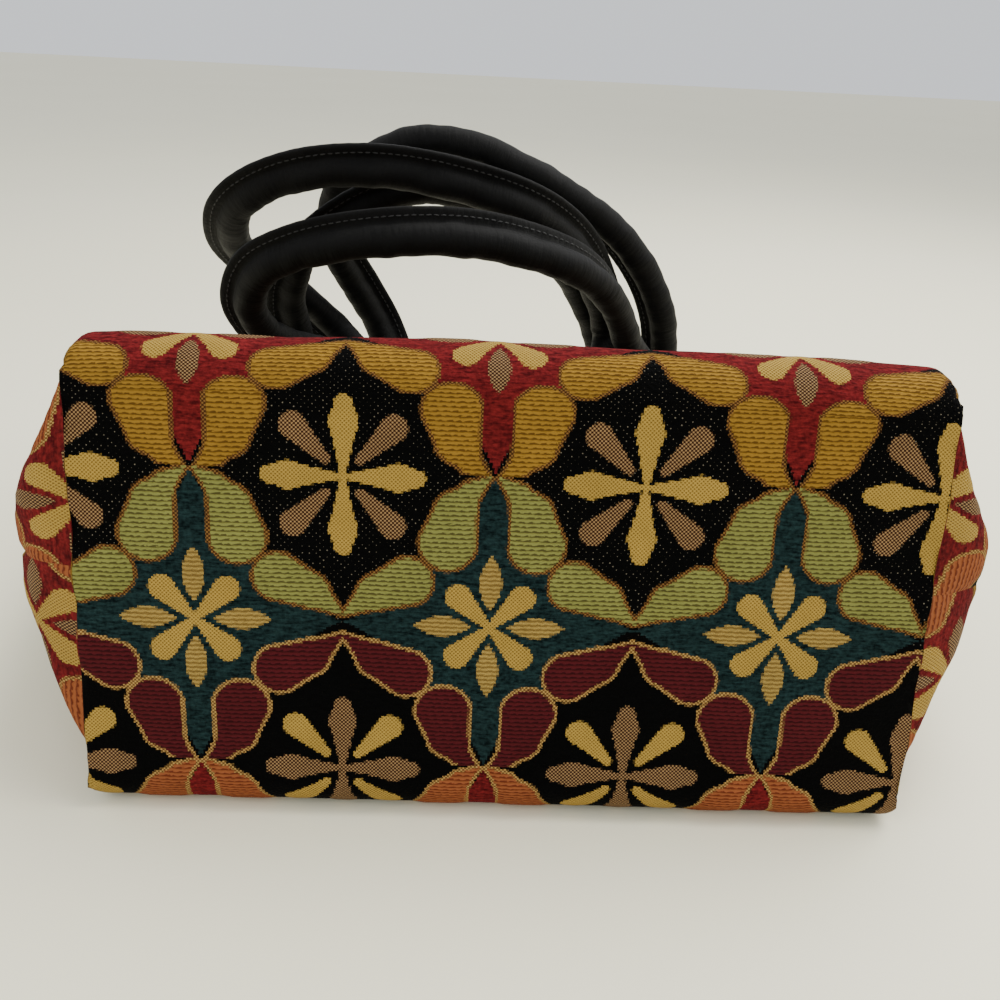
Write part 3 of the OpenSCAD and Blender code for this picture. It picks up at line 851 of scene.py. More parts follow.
@dataclass
class TapestryShell:
    """The one cloth of the bag: base, panels, wings and the hem turned in at the mouth."""

    form: BagForm
    pattern: Pattern
    finishes: Finishes
    cloth_t: float = 2.0
    hem_t: float = 1.5
    hem_h: float = 12.0
    around: int = 400
    base_rows: int = 56
    fold_rows: int = 10
    wall_rows: int = 96
    inner_rows: int = 22
    stitch_drop: float = 9.0
    seed: int = 11

    def fold(self, inset: float, base_y: float, steps: int) -> list[Row]:
        """Rows round the folds of the base, from its flat face to the walls."""
        f, rows = self.form, []
        for k in range(steps + 1):
            w = math.pi / 2 * k / steps
            shift = f.fold_r - (f.fold_r - base_y) * math.cos(w) - f.fold_r
            cloth = f.fold_r * (2.0 * k / steps - 1.0)
            rows.append(f.row(0.0, f.fold_r - (f.fold_r - inset) * math.sin(w), cloth,
                              self.around, f.seam_r - (f.seam_r - inset) * math.sin(w), shift,
                              on_base=2 * k < steps))
        return rows

    def walls(self, inset: float, top: float, steps: int) -> list[Row]:
        """Rows along the walls, from the fold to a share top of the body's length."""
        f = self.form
        shares = [top * (k / steps) ** 1.12 for k in range(1, steps + 1)]
        return [f.row(s, inset, f.fold_r + s * (f.body_h - f.fold_r), self.around) for s in shares]

    def flat_base(self, edge: Row, steps: int, inward: bool) -> list[Row]:
        """Rows of the base's flat face, from near its middle out to its edge."""
        middle = (edge.points.max(0) + edge.points.min(0)) / 2
        rows = []
        for k in range(1, steps):
            share = k / steps
            rows.append(Row(middle + (edge.points - middle) * share, edge.along * share,
                            edge.cloth, True))
        return rows[::-1] if inward else rows

    def build(self) -> bpy.types.Object:
        """Builds the cloth with its outer face, hem and inner face."""
        f = self.form
        outer_fold = self.fold(0.0, 0.0, self.fold_rows)
        inner_fold = self.fold(self.cloth_t, self.cloth_t, 4)
        hem_s = 1 - self.hem_h / f.body_h
        outer = self.flat_base(outer_fold[0], self.base_rows, False) + outer_fold \
            + self.walls(0.0, 1.0, self.wall_rows)
        turned = self.cloth_t + self.hem_t
        lip = [f.row(1.0, turned * share, f.body_h + turned * share, self.around,
                     y_shift=0.9 * math.sin(math.pi * share)) for share in (0.15, 0.5, 0.85)]
        hem = [f.row(s, turned, 2 * f.body_h - s * f.body_h, self.around)
               for s in (1.0, (1 + hem_s) / 2, hem_s)]
        inner = self.walls(self.cloth_t, hem_s, self.inner_rows)[::-1] + inner_fold[::-1] \
            + self.flat_base(inner_fold[0], 6, True)
        rows = outer + lip + hem + inner
        points = np.stack([row.points[:-1] for row in rows])
        cloth_u, cloth_v = self.cloth_places(rows)
        self.shape(points, rows, len(outer), cloth_u, cloth_v)
        return self.mesh(points, cloth_u, cloth_v, rows)

    def cloth_places(self, rows: list[Row]) -> tuple[np.ndarray, np.ndarray]:
        """Cloth places of every row's points on three charts: base, front panel and back panel.

        Args:
            rows: The cloth's rows.

        Returns:
            The places across and up the cloth, each 3 by rows by points.
        """
        f = self.form
        lean = math.radians(f.base_lean)
        u = np.stack([row.along for row in rows])
        base_u = np.stack([row.points[:, 0] for row in rows])
        base_v = np.stack([row.points[:, 2] / math.cos(lean) for row in rows])
        front_v = np.stack([np.full(self.around + 1, f.base_d + row.cloth) for row in rows])
        back_v = np.stack([np.full(self.around + 1, -row.cloth) for row in rows])
        return np.stack([base_u, u, u]), np.stack([base_v, front_v, back_v])

    def shape(self, points: np.ndarray, rows: list[Row], outer: int, cloth_u: np.ndarray,
              cloth_v: np.ndarray) -> None:
        """Adds the cloth's slack, its puckered seams and the padding of its petals.

        Args:
            points: The rows' points, changed in place.
            rows: The rows.
            outer: How many rows are on the outer face.
            cloth_u: Places across the cloth on the three charts.
            cloth_v: Places up the cloth on the three charts.
        """
        f = self.form
        n = self.around
        following = np.roll(points, -1, 1) - np.roll(points, 1, 1)
        down = np.empty_like(points)
        down[1:-1] = points[2:] - points[:-2]
        down[0], down[-1] = points[1] - points[0], points[-1] - points[-2]
        normal = np.cross(following, down)
        normal /= np.maximum(np.linalg.norm(normal, axis=2, keepdims=True), NEVER_ZERO)
        on_base = np.array([row.on_base for row in rows])
        upper = np.arange(n) < n // 2
        u = np.where(on_base[:, None], cloth_u[0, :, :n], cloth_u[1, :, :n])
        panel_v = np.where(upper, cloth_v[1, :, :n], cloth_v[2, :, :n])
        v = np.where(on_base[:, None], cloth_v[0, :, :n], panel_v)
        cloth = np.array([row.cloth for row in rows])[:, None]
        k = np.arange(n)
        seam_near = np.minimum(np.abs(k - n // 2), np.minimum(k, n - k))
        seam_dist = seam_near[None, :] * f.ring_length() / n
        wall = np.clip((cloth - 10.0) / 40.0, 0, 1)
        loose = self.slack(points)
        lift = (0.5 + 1.5 * wall) * loose
        lift = lift * np.where(points[..., 2] < 6.0, 0.15, 1.0)
        pucker = np.sin(v / 4.6 + 2.2 * np.sin(v / 17.0)) * np.exp(-seam_dist / 7.0) * wall
        groove = -1.3 * np.exp(-(seam_dist / 1.7) ** 2) * wall
        fold_groove = self.end_seams(points, cloth)
        move = lift + 0.55 * pucker + groove + fold_groove
        move += self.pattern.relief(u, v) * np.where(points[..., 2] < 2.0, 0.2, 1.0)
        points[:outer] += (normal * move[..., None])[:outer]
        points[:outer, :, 2] = np.maximum(points[:outer, :, 2], 0.0)
        inside = np.arange(outer, len(rows))
        points[inside] += (normal[inside] * (-0.8 * loose[inside] * wall[inside])[..., None])

    def slack(self, points: np.ndarray) -> np.ndarray:
        """Slow swells of the cloth, about -1 to 1 millimetres, from seeded waves."""
        draw = np.random.default_rng(self.seed)
        total = np.zeros(points.shape[:2])
        for _ in range(14):
            direction = draw.normal(size=3)
            direction /= np.linalg.norm(direction) * draw.uniform(26.0, 80.0)
            swell = np.sin(2 * math.pi * (points @ direction) + draw.uniform(0, 6.3))
            total += swell * draw.uniform(0.1, 0.34)
        return total

    def end_seams(self, points: np.ndarray, cloth: np.ndarray) -> np.ndarray:
        """Groove along the seams between the base and the side wings."""
        f = self.form
        side = np.abs(points[..., 0]) > f.base_w / 2 - f.seam_r - 0.5
        height = points[..., 2] / math.cos(math.radians(f.base_lean))
        upright = np.clip((np.minimum(height, f.base_d - height) - 2.0) / 6.0, 0, 1)
        ripple = 0.35 * np.sin(height / 3.9 + np.sin(height / 11.0))
        near = np.exp(-(cloth / 2.4) ** 2)
        on_fold = side & (np.abs(cloth) < f.fold_r + 0.1)
        return np.where(on_fold, upright * (-1.5 * near + ripple), 0.0)

    def mesh(self, points: np.ndarray, cloth_u: np.ndarray, cloth_v: np.ndarray,
             rows: list[Row]) -> bpy.types.Object:
        """Joins the rows into a closed mesh with its cloth map."""
        f, n, count = self.form, self.around, len(rows)
        faces = ring_faces(count, n)
        row = np.repeat(np.arange(count - 1), n)
        i = np.tile(np.arange(n), count - 1)
        on_base = np.array([r.on_base for r in rows])
        cloth = np.array([r.cloth for r in rows])
        flat = on_base[row] & on_base[row + 1] & (cloth[row + 1] <= -f.fold_r + 0.01)
        chart = np.where(flat, 0, np.where(i < n // 2, 1, 2))
        places = []
        for dr, di in ((0, 0), (1, 0), (1, 1), (0, 1)):
            at = (chart, row + dr, i + di)
            places.append(np.stack([cloth_u[at], cloth_v[at]], -1))
        uv = np.stack(places, 1)
        hubs = [points[0].mean(0), points[-1].mean(0)]
        k = np.arange(n)
        j = (k + 1) % n
        caps, cap_uv = [], []
        for hub, ring, turned in ((0, 0, False), (1, count - 1, True)):
            centre = np.full(n, count * n + hub)
            a, b = (j, k) if turned else (k, j)
            caps.append(np.stack([centre, ring * n + a, ring * n + b, ring * n + b], -1))
            hub_uv = np.array([0.0, f.base_d / 2])
            ring_uv = np.stack([cloth_u[0, ring], cloth_v[0, ring]], -1)
            cap_uv.append(np.stack([np.tile(hub_uv, (n, 1)), ring_uv[a], ring_uv[b], ring_uv[b]],
                                   1))
        every = np.concatenate([points.reshape(-1, 3), np.array(hubs)])
        piece = link_mesh("tapestry_shell_cloth", every, np.concatenate([faces, *caps]),
                          np.concatenate([uv, *cap_uv]), self.finishes.tapestry)
        return piece

    def stitch_path(self) -> np.ndarray:
        """Closed line of the topstitching below the mouth edge, just proud of the cloth."""
        s = 1 - self.stitch_drop / self.form.body_h
        return self.form.row(s, -0.35, 0.0, 720).points


@dataclass
class InnerSkin:
    """The lining or the facing: a thin skin inside the tapestry."""

    form: BagForm
    name: str
    material: bpy.types.Material
    outside: float
    thickness: float
    base_y: Optional[float]
    from_s: float
    to_s: float
    around: int = 200
    steps: int = 34

    def side(self, inset: float, lift: float) -> list[np.ndarray]:
        """Rows of one face of the skin, from its closed or lower end to its upper edge."""
        f, rows = self.form, []
        if self.base_y is not None:
            edge = None
            for k in range(5):
                w = math.pi / 2 * k / 4
                shift = f.fold_r - (f.fold_r - self.base_y - lift) * math.cos(w) - f.fold_r
                row = f.row(0.0, f.fold_r - (f.fold_r - inset) * math.sin(w), 0.0, self.around,
                            f.seam_r - (f.seam_r - inset) * math.sin(w), shift)
                if edge is None:
                    edge = row.points
                    middle = (edge.max(0) + edge.min(0)) / 2
                    rows += [middle + (edge - middle) * share for share in (0.02, 0.25, 0.5, 0.75)]
                rows.append(row.points)
        for k in range(1 if self.base_y is not None else 0, self.steps + 1):
            rows.append(f.row(self.from_s + (self.to_s - self.from_s) * k / self.steps, inset, 0.0,
                              self.around).points)
        return [row[:-1] for row in rows]

    def build(self) -> bpy.types.Object:
        """Builds the skin as a closed mesh."""
        outer = self.side(self.outside, 0.0)
        inner = self.side(self.outside + self.thickness, self.thickness)
        rows = outer + inner[::-1]
        n = self.around
        points = np.concatenate(rows)
        faces = ring_faces(len(rows), n, closed_rows=self.base_y is None)
        if self.base_y is not None:
            k = np.arange(n)
            j = (k + 1) % n
            last = (len(rows) - 1) * n
            hub = len(points)
            points = np.concatenate([points, [rows[0].mean(0), rows[-1].mean(0)]])
            near_cap = np.stack([np.full(n, hub), k, j, j], -1)
            far_cap = np.stack([np.full(n, hub + 1), last + j, last + k, last + k], -1)
            faces = np.concatenate([faces, near_cap, far_cap])
        return link_mesh(self.name, points, faces, None, self.material)


@dataclass
class Pocket:
    """Patch pocket on the lining of the back panel, with a turned and stitched hem."""

    material: bpy.types.Material
    turned: float = 1.1
    columns: int = 60
    rows: int = 44

    def build(self) -> bpy.types.Object:
        """Builds the pocket from the box of its solid, a little slack at its mouth."""
        low, high = (np.array(corner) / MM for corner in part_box("lining_pocket"))
        u = np.linspace(-1, 1, self.columns)
        v = np.linspace(-1, 1, self.rows)
        gx, gy = np.meshgrid(u, v)
        round_x = gx * (1 - 0.035 * np.abs(gy) ** 14)
        middle, half = (low + high) / 2, (high - low) / 2
        mouth = ease((gy - 0.2) / 0.8) * (1 - gx ** 2) * 1.6
        hem = np.where((gy > 0.82) & (gy < 0.995), 0.25, 0.0)
        top = np.stack([middle[0] + half[0] * round_x, middle[1] + half[1] * gy,
                        high[2] + mouth + hem], -1)
        under = np.stack([top[..., 0], top[..., 1], np.full_like(mouth, low[2])], -1)
        points = np.concatenate([top.reshape(-1, 3), under.reshape(-1, 3)])
        index = np.arange(self.rows * self.columns).reshape(self.rows, self.columns)
        a, b, c, d = index[:-1, :-1], index[:-1, 1:], index[1:, 1:], index[1:, :-1]
        upper = np.stack([a, b, c, d], -1).reshape(-1, 4)
        size = index.size
        border = np.concatenate([index[0, :-1], index[:-1, -1], index[-1, :0:-1], index[:0:-1, 0]])
        after = np.roll(border, -1)
        edge = np.stack([border, border + size, after + size, after], -1)
        faces = np.concatenate([upper, upper[:, ::-1] + size, edge])
        return link_mesh("lining_pocket_cloth", points, faces, None, self.material)


# Stitches --------------------------------------------------------------------------------------

@dataclass(frozen=True)
class StitchRow:
    """A row of sewn stitches along a line, made by Geometry Nodes."""

    pitch: float = 3.1
    length: float = 2.3
    radius: float = 0.30
    sway: float = 0.10
    seed: int = 5

    def tree(self) -> bpy.types.GeometryNodeTree:
        """Builds the node tree: points along the line, a stitch on each, then one mesh."""
        name = "stitch_row"
        if name in bpy.data.node_groups:
            return bpy.data.node_groups[name]
        tree = bpy.data.node_groups.new(name, "GeometryNodeTree")
        sockets = tree.interface
        sockets.new_socket("Line", in_out="INPUT", socket_type="NodeSocketGeometry")
        for label in ("Pitch", "Stitch length", "Thread radius"):
            sockets.new_socket(label, in_out="INPUT", socket_type="NodeSocketFloat")
        sockets.new_socket("Seed", in_out="INPUT", socket_type="NodeSocketInt")
        sockets.new_socket("Thread", in_out="INPUT", socket_type="NodeSocketMaterial")
        sockets.new_socket("Stitches", in_out="OUTPUT", socket_type="NodeSocketGeometry")
        nodes = tree.nodes
        given, result = nodes.new("NodeGroupInput"), nodes.new("NodeGroupOutput")
        line = nodes.new("GeometryNodeMeshToCurve")
        spots = nodes.new("GeometryNodeCurveToPoints")
        spots.mode = "LENGTH"
        ball = nodes.new("GeometryNodeMeshUVSphere")
        for label, value in (("Segments", 6), ("Rings", 5), ("Radius", 1.0)):
            ball.inputs[label].default_value = value
        size = nodes.new("ShaderNodeCombineXYZ")
        half = nodes.new("ShaderNodeMath")
        half.operation = "MULTIPLY"
        half.inputs[1].default_value = 0.5
        shaped = nodes.new("GeometryNodeTransform")
        place = nodes.new("GeometryNodeInstanceOnPoints")
        sway = nodes.new("FunctionNodeRandomValue")
        sway.data_type = "FLOAT_VECTOR"
        sway.inputs["Min"].default_value = (-self.sway, -self.sway, 0.0)
        sway.inputs["Max"].default_value = (self.sway, self.sway, 0.0)
        turn = nodes.new("FunctionNodeRotateRotation")
        turn.rotation_space = "LOCAL"
        to_turn = nodes.new("FunctionNodeEulerToRotation")
        real = nodes.new("GeometryNodeRealizeInstances")
        dress = nodes.new("GeometryNodeSetMaterial")
        for source, output, target, entry in (
                (given, "Line", line, "Mesh"), (line, "Curve", spots, "Curve"),
                (given, "Pitch", spots, "Length"), (given, "Thread radius", size, 0),
                (given, "Thread radius", size, 1), (given, "Stitch length", half, 0),
                (half, 0, size, 2), (ball, "Mesh", shaped, "Geometry"), (size, 0, shaped, "Scale"),
                (given, "Seed", sway, "Seed"), (sway, "Value", to_turn, 0),
                (spots, "Rotation", turn, "Rotation"), (to_turn, 0, turn, "Rotate By"),
                (spots, "Points", place, "Points"), (shaped, "Geometry", place, "Instance"),
                (turn, 0, place, "Rotation"), (place, "Instances", real, "Geometry"),
                (real, "Geometry", dress, "Geometry"), (given, "Thread", dress, "Material"),
                (dress, "Geometry", result, "Stitches")):
            tree.links.new(source.outputs[output], target.inputs[entry])
        return tree

    def build(self, name: str, lines: Sequence[np.ndarray],
              material: bpy.types.Material) -> bpy.types.Object:
        """Sews stitches along lines.

        Args:
            name: The piece's name.
            lines: The lines' points in millimetres.
            material: The thread's finish.

        Returns:
            The stitches as one plain mesh.
        """
        mesh = bpy.data.meshes.new(name + "_line")
        points, edges, start = [], [], 0
        for line in lines:
            points += [tuple(p * MM) for p in line]
            edges += [(start + k, start + k + 1) for k in range(len(line) - 1)]
            start += len(line)
        mesh.from_pydata(points, edges, [])
        carrier = bpy.data.objects.new(name, mesh)
        bpy.context.scene.collection.objects.link(carrier)
        modifier = carrier.modifiers.new("stitches", "NODES")
        modifier.node_group = self.tree()
        values = {"Pitch": self.pitch * MM, "Stitch length": self.length * MM,
                  "Thread radius": self.radius * MM, "Seed": self.seed, "Thread": material}
        for item in modifier.node_group.interface.items_tree:
            if item.in_out == "INPUT" and item.name in values:
                modifier[item.identifier] = values[item.name]
        graph = bpy.context.evaluated_depsgraph_get()
        sewn = bpy.data.meshes.new_from_object(carrier.evaluated_get(graph))
        carrier.modifiers.clear()
        carrier.data = sewn
        sewn.shade_smooth()
        return carrier


# Handles ---------------------------------------------------------------------------------------

class Edge(Enum):
    """The mouth edge that a strand's ends are sewn into."""

    FRONT = "front"
    BACK = "back"


@dataclass
class Strand:
    """One rolled strand of a handle: a stuffed sleeve with a stitched seam along one side."""

    form: BagForm
    node: str
    edge: Edge
    left_foot: float
    right_foot: float
    seam_turn: float
    route: Sequence[Point]
    radius: float = 7.2
    sleeve_t: float = 1.2
    seam_w: float = 6.0
    seam_t: float = 2.6
    foot_l: float = 24.0
    foot_w: float = 19.0
    slit_t: float = 0.6
    lead: float = 10.0
    wall_middle: float = 2.35
    gap: float = 0.3
    crease_h: float = 0.3
    crease_pitch: float = 7.5
    crease_bend: float = 26.0
    ripple_h: float = 0.12
    rings: int = 260
    stations: int = 34
    around: int = 36
    seed: int = 3

    def foot(self, x: float) -> np.ndarray:
        """Middle of a strand's end, on the mouth edge at x."""
        f = self.form
        half_d = f.mouth_gap / 2
        pinched = 1 - f.pinch(1.0) * (x / f.half_width(1.0)) ** 2
        swell = half_d - (half_d - self.wall_middle) * pinched
        height = f.mouth_gap - swell if self.edge is Edge.FRONT else swell
        return np.array([x, f.body_h / 2 + self.gap, f.mouth_lift + height])

    def points(self) -> np.ndarray:
        """Route of the strand from its left foot to its right foot."""
        a, b = self.foot(-self.left_foot), self.foot(self.right_foot)
        lead = np.array([0.0, self.lead, 0.0])
        return np.array([a, a + lead, *[np.array(p, float) for p in self.route], b + lead, b])

    def centre_line(self) -> tuple[np.ndarray, np.ndarray]:
        """Even points along the smooth curve through the route, and their distances along it."""
        p = self.points()
        last = len(p) - 1
        u = np.minimum(np.linspace(0, 1, 3001) * last, last - 1e-6)
        i = np.floor(u).astype(int)
        t = (u - i)[:, None]
        padded = np.concatenate([[2 * p[0] - p[1]], p, [2 * p[-1] - p[-2]]])
        p0, p1, p2, p3 = (padded[i + k] for k in range(4))
        fine = (2 * p1 + (p2 - p0) * t + (2 * p0 - 5 * p1 + 4 * p2 - p3) * t * t
                + (3 * p1 - p0 - 3 * p2 + p3) * t ** 3) / 2
        length = np.concatenate([[0], np.cumsum(np.linalg.norm(np.diff(fine, axis=0), axis=1))])
        even = np.linspace(0, length[-1], self.rings)
        return np.stack([np.interp(even, length, fine[:, k]) for k in range(3)], -1), even

    @staticmethod
    def tangents(p: np.ndarray) -> np.ndarray:
        """Directions along a centre line, square to the mouth edge at both ends."""
        t = np.zeros_like(p)
        t[1:-1] = p[2:] - p[:-2]
        t[0], t[-1] = (0, 1, 0), (0, -1, 0)
        return t / np.linalg.norm(t, axis=1, keepdims=True)

    def frames(self, p: np.ndarray, even: np.ndarray) -> tuple[np.ndarray, np.ndarray]:
        """Tangents, and side vectors that lie along the mouth edge at both ends.

        Args:
            p: The centre line.
            even: Each ring's distance along it.

        Returns:
            The tangents, and the side vectors carried along the part's own, fewer stations.
        """
        at = np.linspace(0, even[-1], self.stations)
        t = self.tangents(np.stack([np.interp(at, even, p[:, k]) for k in range(3)], -1))
        e = np.zeros_like(t)
        e[0] = (-1, 0, 0)
        for i in range(1, len(e)):
            side = e[i - 1] - (e[i - 1] @ t[i]) * t[i]
            e[i] = side / np.linalg.norm(side)
        goal = np.array([1.0, 0, 0])
        off = math.atan2(np.cross(e[-1], goal) @ t[-1], e[-1] @ goal)
        w = np.linspace(0, off, len(e))[:, None]
        e = e * np.cos(w) + np.cross(t, e) * np.sin(w)
        t = self.tangents(p)
        fine = np.stack([np.interp(even, at, e[:, k]) for k in range(3)], -1)
        fine -= np.sum(fine * t, 1, keepdims=True) * t
        return t, fine / np.linalg.norm(fine, axis=1, keepdims=True)

    def outline(self) -> np.ndarray:
        """Section of the sleeve: a circle with a flat, round-edged seam standing out of it."""
        root = math.asin(self.seam_t / 2 / self.radius)
        half = self.seam_t / 2
        tip = self.radius + self.seam_w - half
        seam_steps = 5
        out = [(self.radius + (tip - self.radius) * k / seam_steps, -half)
               for k in range(1, seam_steps)]
        nose = [(tip + half * math.sin(w), -half * math.cos(w)) for w in np.linspace(0, math.pi, 5)]
        back = [(x, -y) for x, y in out[::-1]]
        ring = self.around - len(out) * 2 - len(nose)
        turn = np.linspace(root, 2 * math.pi - root, ring)
        circle = [(self.radius * math.cos(w), self.radius * math.sin(w)) for w in turn]
        return np.array(out + nose + back + circle)

    def rings_at(self, outline: np.ndarray, flat_w: float, flat_t: float, p: np.ndarray,
                 even: np.ndarray, t: np.ndarray, e: np.ndarray) -> np.ndarray:
        """Sections placed along the centre line, pressed flat towards both ends."""
        turned = math.radians(self.seam_turn)
        turn = np.array([[math.cos(turned), math.sin(turned)],
                         [-math.sin(turned), math.cos(turned)]])
        o = outline @ turn
        angle = np.arctan2(o[:, 1], o[:, 0])
        flat = np.stack([flat_w / 2 * np.cos(angle), flat_t / 2 * np.sin(angle)], -1)
        share = ease(np.minimum(even, even[-1] - even) / self.foot_l)[:, None, None]
        section = share * o[None] + (1 - share) * flat[None]
        other = np.cross(t, e)
        return p[:, None] + section[..., :1] * e[:, None] + section[..., 1:] * other[:, None]

    def crease(self, outer: np.ndarray, p: np.ndarray, even: np.ndarray,
               t: np.ndarray) -> np.ndarray:
        """Creases across the inside of each bend, and ripples along the sewn seam.

        Args:
            outer: The sleeve's sections.
            p: The centre line.
            even: Each ring's distance along it.
            t: Its tangents.

        Returns:
            The creased sections.
        """
        draw = np.random.default_rng(self.seed)
        away = outer - p[:, None]
        reach = np.linalg.norm(away, axis=2, keepdims=True)
        unit = away / np.maximum(reach, NEVER_ZERO)
        bend = np.gradient(t, even, axis=0)
        smooth = np.ones(9) / 9
        bend = np.stack([np.convolve(bend[:, k], smooth, "same") for k in range(3)], -1)
        inside = np.clip(np.einsum("ijk,ik->ij", unit, bend) * self.crease_bend, 0, 1)
        steps = np.cumsum(draw.uniform(0.55, 1.45, len(even)))
        phase = steps * (even[1] - even[0]) * 2 * math.pi / self.crease_pitch
        across = np.sin(phase)[:, None] * inside * self.crease_h
        swell = np.zeros_like(across)
        side = np.arange(outer.shape[1]) / outer.shape[1] * 2 * math.pi
        for _ in range(10):
            step, turns = draw.uniform(9.0, 40.0), draw.integers(0, 4)
            swell += np.sin(even[:, None] / step * 2 * math.pi + turns * side[None]
                            + draw.uniform(0, 6.3)) * draw.uniform(0.03, 0.11)
        on_seam = np.clip((reach[..., 0] - self.radius - 0.6) / self.seam_w, 0, 1)
        sideways = np.cross(t[:, None], unit)
        ripple = np.sin(phase * 1.3 + 1.0)[:, None] * on_seam * self.ripple_h
        share = ease(np.minimum(even, even[-1] - even) / self.foot_l)[:, None]
        move = (across + swell) * share * (1 - on_seam)
        return outer + unit * move[..., None] + sideways * (ripple * share)[..., None]

    def build(self, finishes: Finishes) -> tuple[bpy.types.Object, bpy.types.Object]:
        """Builds the sleeve and the two rows of stitches along its seam."""
        p, even = self.centre_line()
        t, e = self.frames(p, even)
        outline = self.outline()
        outer = self.rings_at(outline, self.foot_w, 2 * self.sleeve_t + self.slit_t, p, even, t, e)
        outer = self.crease(outer, p, even, t)
        bore_r = self.radius - self.sleeve_t
        bore = np.array([(bore_r * math.cos(w), bore_r * math.sin(w))
                         for w in np.linspace(0, 2 * math.pi, self.around, endpoint=False)])
        pick = np.unique(np.concatenate([np.arange(0, self.rings, 4), [self.rings - 1]]))
        inner = self.rings_at(bore, self.foot_w - 2 * self.sleeve_t, self.slit_t, p[pick],
                              even[pick], t[pick], e[pick])
        rows = np.concatenate([outer, inner[::-1]])
        faces = ring_faces(len(rows), self.around, closed_rows=True)[:, ::-1]
        lengths = np.concatenate([even, even[pick][::-1]])
        row = np.repeat(np.arange(len(rows)), self.around)
        i = np.tile(np.arange(self.around), len(rows))
        girth = 2 * math.pi * self.radius / self.around
        places = []
        for dr, di in ((0, 1), (1, 1), (1, 0), (0, 0)):
            places.append(np.stack([(i + di) * girth, lengths[(row + dr) % len(rows)]], -1))
        sleeve = link_mesh(self.node + "_sleeve", rows.reshape(-1, 3), faces, np.stack(places, 1),
                           finishes.strand)
        lines = self.stitch_lines(p, even, t, e)
        stitches = StitchRow(seed=self.seed).build(self.node + "_stitches", lines, finishes.thread)
        return sleeve, stitches

    def stitch_lines(self, p: np.ndarray, even: np.ndarray, t: np.ndarray,
                     e: np.ndarray) -> list[np.ndarray]:
        """Lines of stitching on both faces of the seam, clear of the flattened ends."""
        other = np.cross(t, e)
        turned = math.radians(self.seam_turn)
        free = (even > self.foot_l) & (even < even[-1] - self.foot_l)
        lines = []
        for face in (-1, 1):
            x, y = self.radius + 0.42 * self.seam_w, face * (self.seam_t / 2 + 0.05)
            px = x * math.cos(turned) - y * math.sin(turned)
            py = x * math.sin(turned) + y * math.cos(turned)
            lines.append((p + px * e + py * other)[free])
        return lines


@dataclass
class Handles:
    """The four strands, two sewn into each mouth edge."""

    form: BagForm
    near: float = 50.0
    far: float = 76.0

    def strands(self) -> list[Strand]:
        """The strands with their routes as they lie, in millimetres."""
        front_low = (
            (-79, 138, 63), (-85, 140, 64), (-92, 136, 67), (-98, 128, 71), (-105, 117, 77),
            (-111, 104, 86), (-114, 91, 102), (-106, 81, 119), (-88, 75, 129), (-66, 71, 135),
            (-40, 71, 138), (-15, 76, 137), (8, 83, 132), (27, 91, 125), (41, 101, 116), (51, 111, 105),
            (58, 121, 93), (63, 129, 81), (69, 136, 72), (75, 137, 64),
        )
        front_high = (
            (-52, 139, 59), (-62, 151, 57), (-75, 163, 59), (-88, 174, 68), (-101, 169, 82),
            (-113, 160, 96), (-123, 145, 108), (-127, 125, 123), (-121, 106, 140), (-108, 98, 151),
            (-90, 95, 158), (-68, 95, 161), (-45, 97, 160), (-20, 101, 155), (4, 108, 147),
            (22, 119, 136), (36, 131, 121), (46, 143, 103), (53, 153, 87), (56, 156, 73), (53, 147, 62),
        )
        back_low = (
            (-80, 147, 18), (-92, 154, 34), (-100, 155, 53), (-104, 152, 70), (-105, 140, 88),
            (-101, 127, 105), (-92, 119, 122), (-78, 118, 135), (-60, 121, 145), (-38, 125, 150),
            (-13, 131, 146), (9, 140, 134), (25, 151, 117), (38, 163, 99), (48, 173, 81), (55, 179, 63),
            (58, 179, 45), (56, 168, 27), (51, 149, 15),
        )
        back_high = (
            (-51, 147, 15), (-54, 166, 24), (-58, 181, 42), (-66, 187, 64), (-77, 181, 87),
            (-86, 170, 108), (-86, 158, 131), (-78, 148, 150), (-60, 141, 162), (-40, 139, 169),
            (-16, 139, 167), (10, 141, 157), (36, 145, 143), (58, 150, 127), (75, 157, 106),
            (85, 163, 86), (90, 169, 65), (89, 169, 44), (83, 160, 26), (78, 147, 15),
        )
        f, near, far = self.form, self.near, self.far
        return [
            Strand(f, "front_handle_low", Edge.FRONT, far, far, -55.0, front_low, seed=3),
            Strand(f, "front_handle_high", Edge.FRONT, near, near, -55.0, front_high, seed=4),
            Strand(f, "back_handle_low", Edge.BACK, far, near, 0.0, back_low, seed=6),
            Strand(f, "back_handle_high", Edge.BACK, near, far, 180.0, back_high, seed=8),
        ]


# Studio ----------------------------------------------------------------------------------------

@dataclass(frozen=True)
class Viewpoint:
    """Where the camera stands, in millimetres and degrees."""

    place: Point = (-11.4, -338.9, 222.5)
    down: float = 26.49
    right: float = 1.87
    roll: float = 2.94
    lens: float = 34.92

    def build(self) -> None:
        """Adds the camera and makes it the scene's own."""
        down, right, roll = (math.radians(a) for a in (self.down, self.right, self.roll))
        ahead = Vector((math.sin(right) * math.cos(down), math.cos(right) * math.cos(down),
                        -math.sin(down)))
        level = Vector((math.cos(right), -math.sin(right), 0.0))
        up = level.cross(ahead)
        side = math.cos(roll) * level + math.sin(roll) * up
        top = math.cos(roll) * up - math.sin(roll) * level
        data = bpy.data.cameras.new("camera")
        data.lens = self.lens
        data.sensor_width = 36.0
        camera = bpy.data.objects.new("camera", data)
        turn = Matrix((side, top, -ahead)).transposed()
        camera.matrix_world = Matrix.Translation(Vector(self.place) * MM) @ turn.to_4x4()
        bpy.context.scene.collection.objects.link(camera)
        bpy.context.scene.camera = camera


